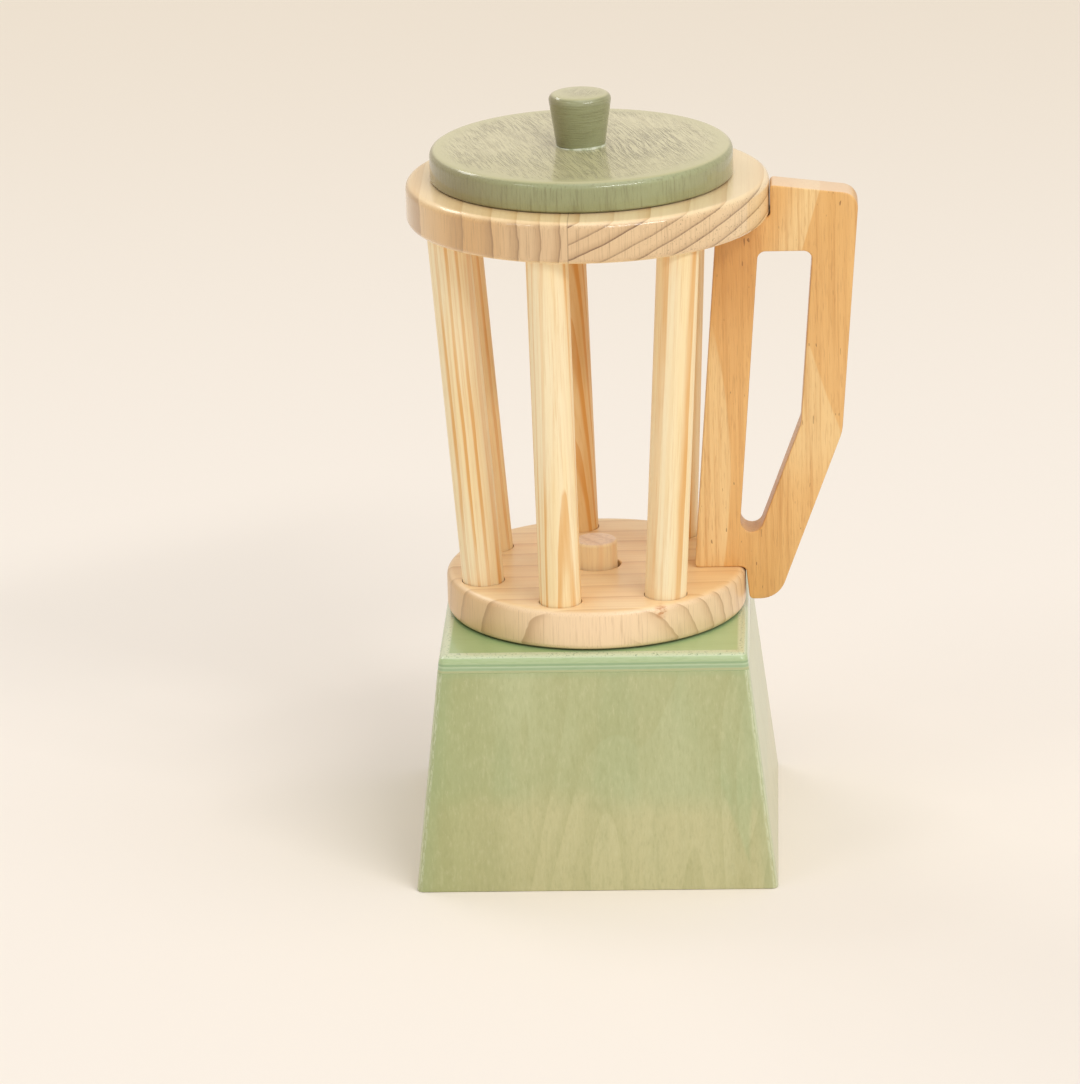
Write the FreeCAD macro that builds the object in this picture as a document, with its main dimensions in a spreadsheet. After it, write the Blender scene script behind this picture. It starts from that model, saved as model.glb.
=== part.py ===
import FreeCAD, Part
import os
import re
import Sketcher

# A wooden toy blender. A hollow plywood plinth carries a peg. The jar is a floor disc and a ring
# joined by leaning round bars and a handle board, and it drops over the peg. A lid with a knob
# closes the ring.
#
# Millimetres and degrees. +X points towards the handle, +Y to the back, +Z up. The origin is the
# middle of the plinth's underside.

doc = FreeCAD.newDocument("toy_blender")


# ---------------------------------------------------------------------------------------------
# Sizes
# ---------------------------------------------------------------------------------------------

SIZES = {
    # Plinth: mitred plywood panels in the shape of a truncated pyramid, under a plywood top.
    "foot_width": 130.0,
    "top_width": 110.0,
    "base_height": 86.0,
    "board_thickness": 6.0,
    "base_corner_radius": 2.6,
    "top_board_easing": 1.9,
    "corner_block_leg": 14.0,
    "corner_block_end_gap": 3.0,
    "spindle_block_width": 42.0,
    "spindle_block_height": 26.0,
    # Peg that the jar drops over. The peg and the jar sit a little behind the plinth's middle.
    "jar_setback": 4.0,
    "spindle_diameter": 15.5,
    "spindle_rise": 24.5,
    "spindle_depth": 20.0,
    "spindle_bevel": 1.0,
    "spindle_running_gap": 0.08,
    "jar_play_on_spindle": 1.1,
    # Floor disc and ring of the jar, and the height between them.
    "floor_diameter": 109.0,
    "floor_thickness": 15.0,
    "ring_diameter": 130.0,
    "ring_width": 22.0,
    "ring_thickness": 15.0,
    "cage_height": 131.0,
    "rim_bevel": 1.6,
    # Round bars. They share the circle evenly with the handle, which takes one of the places.
    "bar_diameter": 15.0,
    "bar_places": 7.0,
    "bar_inset_in_floor": 10.5,
    "bar_inset_in_ring": 11.0,
    "bar_turn": -2.5,
    "bar_twist": 1.5,
    "bar_socket_depth": 9.0,
    "bar_socket_gap": 0.25,
    # Handle board. Insets and reaches run from the rims of the two discs, heights from their faces.
    "handle_thickness": 13.0,
    "handle_column_inset": 18.5,
    "handle_column_width": 15.5,
    "handle_limb_width": 15.15,
    "handle_rim_gap": 0.5,
    "handle_lip_drop": 12.3,
    "handle_lip_splay": 1.2,
    "handle_lip_reach": 11.3,
    "handle_elbow_reach": 25.1,
    "handle_elbow_height": 50.9,
    "handle_top_drop": 2.7,
    "handle_top_fall": 3.8,
    "opening_top_drop": 12.4,
    "opening_toe_radius": 4.1,
    "opening_corner_radius": 3.0,
    "handle_foot_radius": 1.5,
    "handle_lip_radius": 1.7,
    "handle_heel_radius": 9.5,
    "handle_elbow_radius": 14.0,
    "handle_shoulder_radius": 6.0,
    # Dowels between the handle board and the two discs.
    "pin_diameter": 6.0,
    "pin_depth_in_disc": 9.0,
    "pin_depth_in_handle": 16.0,
    "pin_gap": 0.05,
    # Lid, the plug under it, and the knob that is screwed to it from below.
    "lid_overlap": 11.25,
    "lid_thickness": 11.0,
    "lid_bevel": 1.6,
    "lid_shift_aside": -2.0,
    "lid_shift_back": 2.0,
    "plug_thickness": 6.0,
    "plug_play": 3.3,
    "knob_foot_diameter": 17.5,
    "knob_top_diameter": 23.5,
    "knob_height": 19.0,
    "knob_bevel": 1.5,
    "screw_diameter": 4.0,
    "screw_head_diameter": 8.0,
    "screw_head_height": 2.4,
    "screw_bite": 11.0,
    "screw_gap": 0.05,
    "screw_slot_width": 1.1,
    "screw_slot_depth": 1.0,
}

sheet = doc.addObject("Spreadsheet::Sheet", "sizes")
for row, (alias, amount) in enumerate(SIZES.items(), start=1):
    sheet.set(f"A{row}", alias)
    sheet.set(f"B{row}", str(amount))
    sheet.setAlias(f"B{row}", alias)
doc.recompute()


def formula(text):
    """Turn a formula in plain size names into one that reads the sheet."""
    return re.sub(r"\b(" + "|".join(SIZES) + r")\b", r"sizes.\1", str(text))


def value(text):
    """The number that a formula in size names gives now."""
    return float(sheet.evalExpression(formula(text)))


def bind(item, **formulas):
    """Bind properties of an object to formulas; a double underscore reaches into a property."""
    for name, text in formulas.items():
        item.setExpression(name.replace("__", "."), formula(text))


# Heights and radii that several pieces share, slopes, and the plinth's wall measured level.
FLOOR_TOP = "(base_height + floor_thickness)"
RING_UNDER = f"({FLOOR_TOP} + cage_height)"
RING_TOP = f"({RING_UNDER} + ring_thickness)"
LID_TOP = f"({RING_TOP} + lid_thickness)"
WALL_TOP = "(base_height - board_thickness)"
SPINDLE_FOOT = f"({WALL_TOP} - spindle_depth)"
BASE_SLOPE = "((foot_width - top_width) / 2 / base_height)"
WALL = f"(board_thickness * sqrt(1 + {BASE_SLOPE} ^ 2))"
FLOOR_RADIUS = "(floor_diameter / 2)"
RING_RADIUS = "(ring_diameter / 2)"
MOUTH_RADIUS = f"({RING_RADIUS} - ring_width)"
BARS_LOW = f"({FLOOR_RADIUS} - bar_inset_in_floor)"
BARS_HIGH = f"({RING_RADIUS} - bar_inset_in_ring)"
CAGE_LEAN = f"(({BARS_HIGH} - {BARS_LOW}) / cage_height)"


# ---------------------------------------------------------------------------------------------
# Ways of making things
# ---------------------------------------------------------------------------------------------


def primitive(kind, name, across="0", back="0", up="0", **sizes):
    """A Part primitive whose sizes and place are bound to the sheet."""
    item = doc.addObject(kind, name)
    bind(item, Placement__Base__x=across, Placement__Base__y=back, Placement__Base__z=up)
    bind(item, **sizes)
    doc.recompute()
    return item


def combine(kind, name, base, tool):
    """A Part boolean of two objects."""
    item = doc.addObject(kind, name)
    item.Base = base
    item.Tool = tool
    doc.recompute()
    return item


def bundle(name, shapes):
    """Several tools held together, so that one cut uses them all."""
    item = doc.addObject("Part::Compound", name)
    item.Links = shapes
    doc.recompute()
    return item


def outline(body, name, role, corners, lift="0"):
    """A closed sketch of straight runs on one of a body's origin planes.

    Each corner is a pair of formulas, measured from the origin.
    """
    sketch = body.newObject("Sketcher::SketchObject", name)
    plane = next(item for item in body.Origin.OriginFeatures if item.Role == role)
    sketch.AttachmentSupport = (plane, "")
    sketch.MapMode = "FlatFace"
    bind(sketch, AttachmentOffset__Base__z=lift)
    spots = [FreeCAD.Vector(value(across), value(up), 0) for across, up in corners]
    for start, end in zip(spots, spots[1:] + spots[:1]):
        sketch.addGeometry(Part.LineSegment(start, end))
    for number, pair in enumerate(corners):
        following = (number + 1) % len(corners)
        sketch.addConstraint(Sketcher.Constraint("Coincident", number, 2, following, 1))
        for kind, text in zip(("DistanceX", "DistanceY"), pair):
            index = sketch.addConstraint(Sketcher.Constraint(kind, number, 1, value(text)))
            bind(sketch, **{f"Constraints[{index}]": text})
    return sketch


def add_feature(body, kind, name, profile):
    """Add a feature that works on a sketch, and make it the body's result."""
    feature = body.newObject(kind, name)
    feature.Profile = profile
    body.Tip = feature
    return feature


def turned(label, profile):
    """A body turned about the vertical axis from a half profile of radius and height pairs."""
    body = doc.addObject("PartDesign::Body", label)
    sketch = outline(body, f"{label}_profile", "XZ_Plane", profile)
    turn = add_feature(body, "PartDesign::Revolution", f"{label}_turn", sketch)
    turn.ReferenceAxis = (sketch, ["V_Axis"])
    turn.Angle = 360
    doc.recompute()
    return body


def dress_edges(body, kind, name, chosen, **size):
    """Add a feature that works on the edges that a test picks, and make it the body's result."""
    base = body.Tip
    edges = enumerate(base.Shape.Edges, start=1)
    names = [f"Edge{number}" for number, edge in edges if chosen(edge)]
    feature = body.newObject(kind, name)
    feature.Base = (base, names)
    bind(feature, **size)
    body.Tip = feature
    doc.recompute()


def ease(body, name, radius, chosen):
    """Round the edges that a test picks."""
    dress_edges(body, "PartDesign::Fillet", name, chosen, Radius=radius)


def bevel(body, name, size, chosen):
    """Take off the edges that a test picks at 45 degrees."""
    dress_edges(body, "PartDesign::Chamfer", name, chosen, Size=size)


def rim(radius, height):
    """A test for the round edge of this radius at this height."""
    def chosen(edge):
        return (
            isinstance(edge.Curve, Part.Circle)
            and abs(edge.Curve.Radius - value(radius)) < 1e-4
            and abs(edge.Curve.Center.z - value(height)) < 1e-4
        )
    return chosen


def set_on_axis(item, aside="0", back="0"):
    """Set a turned body on the jar's axis, or beside it."""
    bind(item, Placement__Base__x=aside, Placement__Base__y=f"jar_setback + {back}")
    doc.recompute()
    return item


pieces = []


def piece(item, label):
    """Mark an object as a finished piece, under the name that its file has."""
    item.Label = label
    pieces.append(item)


# ---------------------------------------------------------------------------------------------
# Plinth walls: a hollow pyramid with rounded corners, cut into four mitred panels
# ---------------------------------------------------------------------------------------------


def half_width(inset, height):
    """From the plinth's middle to its outside, or to a surface inset from it, at a height."""
    return f"(foot_width / 2 - {inset} - {BASE_SLOPE} * ({height}))"


def pyramid(name, inset, low, high):
    """A body with the plinth's slope between two heights, inset from the plinth's outside."""
    body = doc.addObject("PartDesign::Body", name)
    block = body.newObject("PartDesign::AdditiveWedge", f"{name}_block")
    # A wedge tapers along its own Y, which is stood upright here.
    block.Placement.Rotation = FreeCAD.Rotation(FreeCAD.Vector(1, 0, 0), 90)
    wide = half_width(inset, low)
    narrow = half_width(inset, high)
    bind(block, Xmin=f"-{wide}", Xmax=wide, X2min=f"-{narrow}", X2max=narrow)
    bind(block, Zmin=f"-{wide}", Zmax=wide, Z2min=f"-{narrow}", Z2max=narrow)
    bind(block, Ymin=low, Ymax=high)
    doc.recompute()
    return body


def leaning(edge):
    """A test for the four corner edges that run up a pyramid."""
    rise = abs(edge.Vertexes[-1].Point.z - edge.Vertexes[0].Point.z)
    return rise > 0.9 * edge.Length


wall_block = pyramid("wall_block", "0", "0", WALL_TOP)
ease(wall_block, "wall_corners", "base_corner_radius", leaning)
wall_hollow = pyramid("wall_hollow", WALL, "0", WALL_TOP)
walls = combine("Part::Cut", "walls", wall_block, wall_hollow)


def wall_panel(label, quarter):
    """One side of the plinth, mitred at both ends; the quarters run round from the front."""
    sector = doc.addObject("PartDesign::Body", f"{label}_sector")
    far = [("0", "0"), ("-foot_width", "-foot_width"), ("foot_width", "-foot_width")]
    triangle = outline(sector, f"{label}_sector_outline", "XY_Plane", far)
    pad = add_feature(sector, "PartDesign::Pad", f"{label}_sector_pad", triangle)
    bind(pad, Length=WALL_TOP)
    sector.Placement.Rotation = FreeCAD.Rotation(FreeCAD.Vector(0, 0, 1), 90 * quarter)
    doc.recompute()
    piece(combine("Part::Common", f"{label}_board", walls, sector), label)


WALL_PANELS = ("base_front_panel", "base_right_panel", "base_back_panel", "base_left_panel")
for quarter, label in enumerate(WALL_PANELS):
    wall_panel(label, quarter)


# ---------------------------------------------------------------------------------------------
# Bottom board: bevelled to fill the walls, flush with their feet
# ---------------------------------------------------------------------------------------------

piece(pyramid("bottom_board", WALL, "0", "board_thickness"), "base_bottom_board")


# ---------------------------------------------------------------------------------------------
# Glue blocks: three-cornered mouldings that lean with the mitres
# ---------------------------------------------------------------------------------------------


def corner_block(quarter):
    """One glue block in the corner between two panels."""
    label = f"corner_block_{quarter + 1}"
    body = doc.addObject("PartDesign::Body", f"{label}_body")
    low = "(board_thickness + corner_block_end_gap)"
    corner = half_width(WALL, low)
    start = f"({corner} - corner_block_leg)"
    ends = [(corner, f"-{corner}"), (corner, f"-{start}"), (start, f"-{corner}")]
    section = outline(body, f"{label}_section", "XY_Plane", ends, lift=low)
    pad = add_feature(body, "PartDesign::Pad", f"{label}_length", section)
    pad.UseCustomVector = True
    pad.AlongSketchNormal = True
    bind(pad, Direction=f"vector(-{BASE_SLOPE}; {BASE_SLOPE}; 1)")
    bind(pad, Length=f"{WALL_TOP} - corner_block_end_gap - {low}")
    body.Placement.Rotation = FreeCAD.Rotation(FreeCAD.Vector(0, 0, 1), 90 * quarter)
    doc.recompute()
    piece(body, label)


for quarter in range(len(WALL_PANELS)):
    corner_block(quarter)


# ---------------------------------------------------------------------------------------------
# Top board and the block under it, bored together for the peg
# ---------------------------------------------------------------------------------------------


def around_top(edge):
    """A test for the edges round the plinth's top face."""
    return all(abs(end.Point.z - value("base_height")) < 1e-6 for end in edge.Vertexes)


spindle_bore = primitive(
    "Part::Cylinder",
    "spindle_bore",
    back="jar_setback",
    up=SPINDLE_FOOT,
    Radius="spindle_diameter / 2 + spindle_running_gap",
    Height="spindle_depth + 2 * board_thickness",
)

top_board = pyramid("top_board", "0", WALL_TOP, "base_height")
ease(top_board, "top_board_corners", "base_corner_radius", leaning)
ease(top_board, "top_board_arris", "top_board_easing", around_top)
piece(combine("Part::Cut", "top_board_bored", top_board, spindle_bore), "base_top_board")

spindle_wood = primitive(
    "Part::Box",
    "spindle_wood",
    across="-spindle_block_width / 2",
    back="jar_setback - spindle_block_width / 2",
    up=f"{WALL_TOP} - spindle_block_height",
    Length="spindle_block_width",
    Width="spindle_block_width",
    Height="spindle_block_height",
)
piece(combine("Part::Cut", "spindle_block_bored", spindle_wood, spindle_bore), "spindle_block")


# ---------------------------------------------------------------------------------------------
# Peg: a dowel with a bevelled top that stands in the blind bore
# ---------------------------------------------------------------------------------------------

SPINDLE_TOP = "(base_height + spindle_rise)"
spindle = turned(
    "spindle",
    [
        ("0", SPINDLE_FOOT),
        ("spindle_diameter / 2", SPINDLE_FOOT),
        ("spindle_diameter / 2", SPINDLE_TOP),
        ("0", SPINDLE_TOP),
    ],
)
bevel(spindle, "spindle_arris", "spindle_bevel", rim("spindle_diameter / 2", SPINDLE_TOP))
piece(set_on_axis(spindle), "spindle_peg")


# ---------------------------------------------------------------------------------------------
# Round bars: straight, leaning outwards, and turned a little round the jar as they rise
# ---------------------------------------------------------------------------------------------


def bar_rod(name, number, radius):
    """A rod on a bar's axis, from the bottom of one socket to the bottom of the other."""
    low = f"(bar_turn + {number} * 360 / bar_places)"
    high = f"({low} + bar_twist)"
    run_x = f"({BARS_HIGH} * cos({high}) - {BARS_LOW} * cos({low}))"
    run_y = f"({BARS_HIGH} * sin({high}) - {BARS_LOW} * sin({low}))"
    run = f"sqrt({run_x} ^ 2 + {run_y} ^ 2)"
    clear = f"sqrt({run_x} ^ 2 + {run_y} ^ 2 + cage_height ^ 2)"
    # The rod starts one socket depth below the floor's top, measured along itself.
    back = f"(bar_socket_depth / {clear})"
    start_x = f"({BARS_LOW} * cos({low}) - {back} * {run_x})"
    start_y = f"(jar_setback + {BARS_LOW} * sin({low}) - {back} * {run_y})"
    start_z = f"({FLOOR_TOP} - {back} * cage_height)"
    rod = doc.addObject("Part::Cylinder", name)
    place = f"vector({start_x}; {start_y}; {start_z})"
    tilt = f"rotation(vector(-{run_y}; {run_x}; 0); atan({run} / cage_height))"
    bind(rod, Placement=f"placement({place}; {tilt})")
    bind(rod, Radius=radius, Height=f"{clear} + 2 * bar_socket_depth")
    doc.recompute()
    return rod


bar_numbers = range(1, int(value("bar_places")))
for number in bar_numbers:
    piece(bar_rod(f"bar_rod_{number}", number, "bar_diameter / 2"), f"cage_bar_{number}")

# The same rods, wider by the glue gap, bore the blind sockets in both discs.
socket_radius = "bar_diameter / 2 + bar_socket_gap"
sockets = [bar_rod(f"socket_{number}", number, socket_radius) for number in bar_numbers]


# ---------------------------------------------------------------------------------------------
# Dowels that hold the handle board to the two discs
# ---------------------------------------------------------------------------------------------


COLUMN_START = f"({FLOOR_RADIUS} - handle_column_inset)"


def column_side(offset, height):
    """A line up the handle's column, which leans with the bars, offset from its inner side."""
    return f"({COLUMN_START} + {offset} + {CAGE_LEAN} * ({height} - {FLOOR_TOP}))"


def pin_rod(name, seam, below, above, radius):
    """An upright rod in the middle of the column, across its seam with a disc."""
    return primitive(
        "Part::Cylinder",
        name,
        across=column_side("handle_column_width / 2", seam),
        back="jar_setback",
        up=f"{seam} - {below}",
        Radius=radius,
        Height=f"{below} + {above}",
    )


LOW_SEAM = (FLOOR_TOP, "pin_depth_in_disc", "pin_depth_in_handle")
HIGH_SEAM = (RING_UNDER, "pin_depth_in_handle", "pin_depth_in_disc")
pin_hole_radius = "pin_diameter / 2 + pin_gap"

piece(pin_rod("low_pin", *LOW_SEAM, "pin_diameter / 2"), "handle_pin_low")
piece(pin_rod("high_pin", *HIGH_SEAM, "pin_diameter / 2"), "handle_pin_high")
low_pin_hole = pin_rod("low_pin_hole", *LOW_SEAM, pin_hole_radius)
high_pin_hole = pin_rod("high_pin_hole", *HIGH_SEAM, pin_hole_radius)


# ---------------------------------------------------------------------------------------------
# Floor disc and ring: turned blanks with slanted blind sockets and a dowel hole
# ---------------------------------------------------------------------------------------------

jar_bores = bundle("jar_bores", [*sockets, low_pin_hole, high_pin_hole])


def disc_blank(name, hole, outside, low, high):
    """A flat disc with a hole in its middle, bevelled round both rims."""
    blank = turned(name, [(hole, low), (outside, low), (outside, high), (hole, high)])
    for end, height in (("under", low), ("top", high)):
        bevel(blank, f"{name}_rim_{end}", "rim_bevel", rim(outside, height))
    return set_on_axis(blank)


FLOOR_HOLE = "(spindle_diameter / 2 + jar_play_on_spindle)"
floor_blank = disc_blank("floor_blank", FLOOR_HOLE, FLOOR_RADIUS, "base_height", FLOOR_TOP)
piece(combine("Part::Cut", "floor_bored", floor_blank, jar_bores), "floor_disc")

ring_blank = disc_blank("ring_blank", MOUTH_RADIUS, RING_RADIUS, RING_UNDER, RING_TOP)
piece(combine("Part::Cut", "ring_bored", ring_blank, jar_bores), "top_ring")


# ---------------------------------------------------------------------------------------------
# Handle board: cut over the rims of both discs, with a long tapered opening
# ---------------------------------------------------------------------------------------------

LIP_UNDER = f"({FLOOR_TOP} - handle_lip_drop)"
LIP_START = f"({FLOOR_RADIUS} + handle_rim_gap)"
HEEL = f"({LIP_START} + handle_lip_reach)"
ELBOW = f"({RING_RADIUS} + handle_elbow_reach)"
ELBOW_UP = f"({FLOOR_TOP} + handle_elbow_height)"
LEG_LEAN = f"(({ELBOW} - {HEEL}) / ({ELBOW_UP} - {LIP_UNDER}))"
HIGH_NOTCH = f"({RING_RADIUS} + handle_rim_gap)"
NOTCH_TOP = f"({RING_TOP} - handle_top_drop)"
SHOULDER_UP = f"({NOTCH_TOP} - handle_top_fall)"
SHOULDER = f"({ELBOW} + {CAGE_LEAN} * ({SHOULDER_UP} - {ELBOW_UP}))"

# The two inner corners reach no further in than the bevels of the rims that they clear.
NOTCH_RADIUS = "(rim_bevel + handle_rim_gap)"

# The outline, from the foot outwards and round; each corner has its own radius.
HANDLE_CORNERS = {
    "foot": (COLUMN_START, FLOOR_TOP, "handle_foot_radius"),
    "low_notch": (LIP_START, FLOOR_TOP, NOTCH_RADIUS),
    "lip": (f"({LIP_START} + handle_lip_splay)", LIP_UNDER, "handle_lip_radius"),
    "heel": (HEEL, LIP_UNDER, "handle_heel_radius"),
    "elbow": (ELBOW, ELBOW_UP, "handle_elbow_radius"),
    "shoulder": (SHOULDER, SHOULDER_UP, "handle_shoulder_radius"),
    "high_notch_top": (HIGH_NOTCH, NOTCH_TOP, "handle_foot_radius"),
    "high_notch": (HIGH_NOTCH, RING_UNDER, NOTCH_RADIUS),
    "column_top": (column_side("0", RING_UNDER), RING_UNDER, "handle_foot_radius"),
}

# The opening stands one column width outside the column's inner side, and one limb width inside
# the leg below the elbow and the limb above it. Its toe is a drilled hole that both sides touch.
OPENING_TOP = f"({RING_UNDER} - opening_top_drop)"
LEG_START = f"({HEEL} - handle_limb_width * sqrt(1 + {LEG_LEAN} ^ 2))"
LIMB_START = f"({ELBOW} - handle_limb_width * sqrt(1 + {CAGE_LEAN} ^ 2))"


def leg_inside(height):
    """The inner side of the leg, below the elbow, at a height."""
    return f"({LEG_START} + {LEG_LEAN} * ({height} - {LIP_UNDER}))"


def limb_inside(height):
    """The inner side of the limb, above the elbow, at a height."""
    return f"({LIMB_START} + {CAGE_LEAN} * ({height} - {ELBOW_UP}))"


# Where the two inner sides meet, and where the drilled toe's middle is, one radius from both.
INNER_ELBOW_UP = (
    f"(({LIMB_START} - {CAGE_LEAN} * {ELBOW_UP} - {LEG_START} + {LEG_LEAN} * {LIP_UNDER})"
    f" / ({LEG_LEAN} - {CAGE_LEAN}))"
)
COLUMN_SLANT = f"sqrt(1 + {CAGE_LEAN} ^ 2)"
LEG_SLANT = f"sqrt(1 + {LEG_LEAN} ^ 2)"
COLUMN_OUTSIDE_LOW = column_side("handle_column_width", "0")
TOE_UP = (
    f"(({COLUMN_OUTSIDE_LOW} - {leg_inside('0')}"
    f" + opening_toe_radius * ({COLUMN_SLANT} + {LEG_SLANT})) / ({LEG_LEAN} - {CAGE_LEAN}))"
)
TOE = f"({column_side('handle_column_width', TOE_UP)} + opening_toe_radius * {COLUMN_SLANT})"

OPENING_CORNERS = {
    "toe_right": (
        f"({TOE} + opening_toe_radius / {LEG_SLANT})",
        f"({TOE_UP} - opening_toe_radius * {LEG_LEAN} / {LEG_SLANT})",
    ),
    "inner_elbow": (limb_inside(INNER_ELBOW_UP), INNER_ELBOW_UP),
    "top_right": (limb_inside(OPENING_TOP), OPENING_TOP),
    "top_left": (column_side("handle_column_width", OPENING_TOP), OPENING_TOP),
    "toe_left": (
        f"({TOE} - opening_toe_radius / {COLUMN_SLANT})",
        f"({TOE_UP} + opening_toe_radius * {CAGE_LEAN} / {COLUMN_SLANT})",
    ),
}
OPENING_RADII = {
    "inner_elbow": "handle_elbow_radius / 2",
    "top_right": "opening_corner_radius",
    "top_left": "opening_corner_radius",
}


def standing_at(across, up):
    """A test for the edge that runs straight through the board at a corner of an outline."""
    def chosen(edge):
        return all(
            abs(end.Point.x - value(across)) < 1e-4 and abs(end.Point.z - value(up)) < 1e-4
            for end in edge.Vertexes
        )
    return chosen


handle_board = doc.addObject("PartDesign::Body", "handle_board")

board_corners = [corner[:2] for corner in HANDLE_CORNERS.values()]
board_outline = outline(handle_board, "board_outline", "XZ_Plane", board_corners)
board = add_feature(handle_board, "PartDesign::Pad", "board", board_outline)
board.SideType = "Symmetric"
bind(board, Length="handle_thickness")
doc.recompute()

opening_outline = outline(
    handle_board, "opening_outline", "XZ_Plane", list(OPENING_CORNERS.values())
)
opening = add_feature(handle_board, "PartDesign::Pocket", "opening", opening_outline)
opening.SideType = "Symmetric"
bind(opening, Length="2 * handle_thickness")
doc.recompute()

toe_outline = handle_board.newObject("Sketcher::SketchObject", "toe_outline")
toe_outline.AttachmentSupport = opening_outline.AttachmentSupport
toe_outline.MapMode = "FlatFace"
toe_centre = FreeCAD.Vector(value(TOE), value(TOE_UP), 0)
toe_circle = Part.Circle(toe_centre, FreeCAD.Vector(0, 0, 1), value("opening_toe_radius"))
toe_outline.addGeometry(toe_circle)
for kind, text in (("DistanceX", TOE), ("DistanceY", TOE_UP)):
    index = toe_outline.addConstraint(Sketcher.Constraint(kind, 0, 3, value(text)))
    bind(toe_outline, **{f"Constraints[{index}]": text})
index = toe_outline.addConstraint(Sketcher.Constraint("Radius", 0, value("opening_toe_radius")))
bind(toe_outline, **{f"Constraints[{index}]": "opening_toe_radius"})
toe = add_feature(handle_board, "PartDesign::Pocket", "toe", toe_outline)
toe.SideType = "Symmetric"
bind(toe, Length="2 * handle_thickness")
doc.recompute()

for name, (across, up, radius) in HANDLE_CORNERS.items():
    ease(handle_board, f"{name}_corner", radius, standing_at(across, up))
for name, radius in OPENING_RADII.items():
    ease(handle_board, f"{name}_corner", radius, standing_at(*OPENING_CORNERS[name]))
set_on_axis(handle_board)

handle_holes = bundle("handle_holes", [low_pin_hole, high_pin_hole])
piece(combine("Part::Cut", "handle_bored", handle_board, handle_holes), "handle")


# ---------------------------------------------------------------------------------------------
# Lid, its plug, its knob and the screw that joins them, all on the lid's own axis
# ---------------------------------------------------------------------------------------------

SCREW_HOLE = "(screw_diameter / 2 + screw_gap)"
PLUG_UNDER = f"({RING_TOP} - plug_thickness)"
SCREW_TIP = f"({LID_TOP} + screw_bite)"
KNOB_TOP = f"({LID_TOP} + knob_height)"


def set_on_lid(item):
    """Set a turned body on the lid's axis, which stands off the jar's by the plug's play."""
    return set_on_axis(item, "lid_shift_aside", "lid_shift_back")


LID_RADIUS = f"({MOUTH_RADIUS} + lid_overlap)"
lid = turned(
    "lid",
    [
        (SCREW_HOLE, RING_TOP),
        (LID_RADIUS, RING_TOP),
        (LID_RADIUS, LID_TOP),
        (SCREW_HOLE, LID_TOP),
    ],
)
bevel(lid, "lid_rim", "lid_bevel", rim(LID_RADIUS, LID_TOP))
piece(set_on_lid(lid), "lid_disc")

PLUG_RADIUS = f"({MOUTH_RADIUS} - plug_play)"
plug = turned(
    "plug",
    [
        ("(screw_head_diameter / 2 + screw_gap)", PLUG_UNDER),
        (PLUG_RADIUS, PLUG_UNDER),
        (PLUG_RADIUS, RING_TOP),
        (SCREW_HOLE, RING_TOP),
        (SCREW_HOLE, f"({PLUG_UNDER} + screw_head_height)"),
    ],
)
piece(set_on_lid(plug), "lid_plug")

knob = turned(
    "knob",
    [
        (SCREW_HOLE, LID_TOP),
        ("knob_foot_diameter / 2", LID_TOP),
        ("knob_top_diameter / 2", KNOB_TOP),
        ("0", KNOB_TOP),
        ("0", f"({SCREW_TIP} + screw_gap)"),
        (SCREW_HOLE, f"({SCREW_TIP} + screw_gap)"),
    ],
)
bevel(knob, "knob_rim", "knob_bevel", rim("knob_top_diameter / 2", KNOB_TOP))
piece(set_on_lid(knob), "lid_knob")

screw = turned(
    "screw",
    [
        ("0", PLUG_UNDER),
        ("screw_head_diameter / 2", PLUG_UNDER),
        ("screw_diameter / 2", f"({PLUG_UNDER} + screw_head_height)"),
        ("screw_diameter / 2", SCREW_TIP),
        ("0", SCREW_TIP),
    ],
)
set_on_lid(screw)
screw_slot = primitive(
    "Part::Box",
    "screw_slot",
    across="lid_shift_aside - screw_head_diameter / 2",
    back="jar_setback + lid_shift_back - screw_slot_width / 2",
    up=PLUG_UNDER,
    Length="screw_head_diameter",
    Width="screw_slot_width",
    Height="screw_slot_depth",
)
piece(combine("Part::Cut", "screw_slotted", screw, screw_slot), "knob_screw")


# ---------------------------------------------------------------------------------------------
# Check every object, then write one file for each piece
# ---------------------------------------------------------------------------------------------

doc.recompute()
for item in doc.Objects:
    if {"Invalid", "Error"} & set(item.State):
        raise RuntimeError(f"{item.Name} did not build: {item.State}")
for item in pieces:
    if item.Shape.isNull() or not item.Shape.isValid() or len(item.Shape.Solids) != 1:
        raise RuntimeError(f"{item.Label} is not one sound solid")

os.makedirs("parts", exist_ok=True)
for item in pieces:
    item.Shape.exportStep(f"parts/{item.Label}.step")
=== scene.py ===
import math

import bmesh
import bpy
from mathutils import Matrix, Vector


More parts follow.
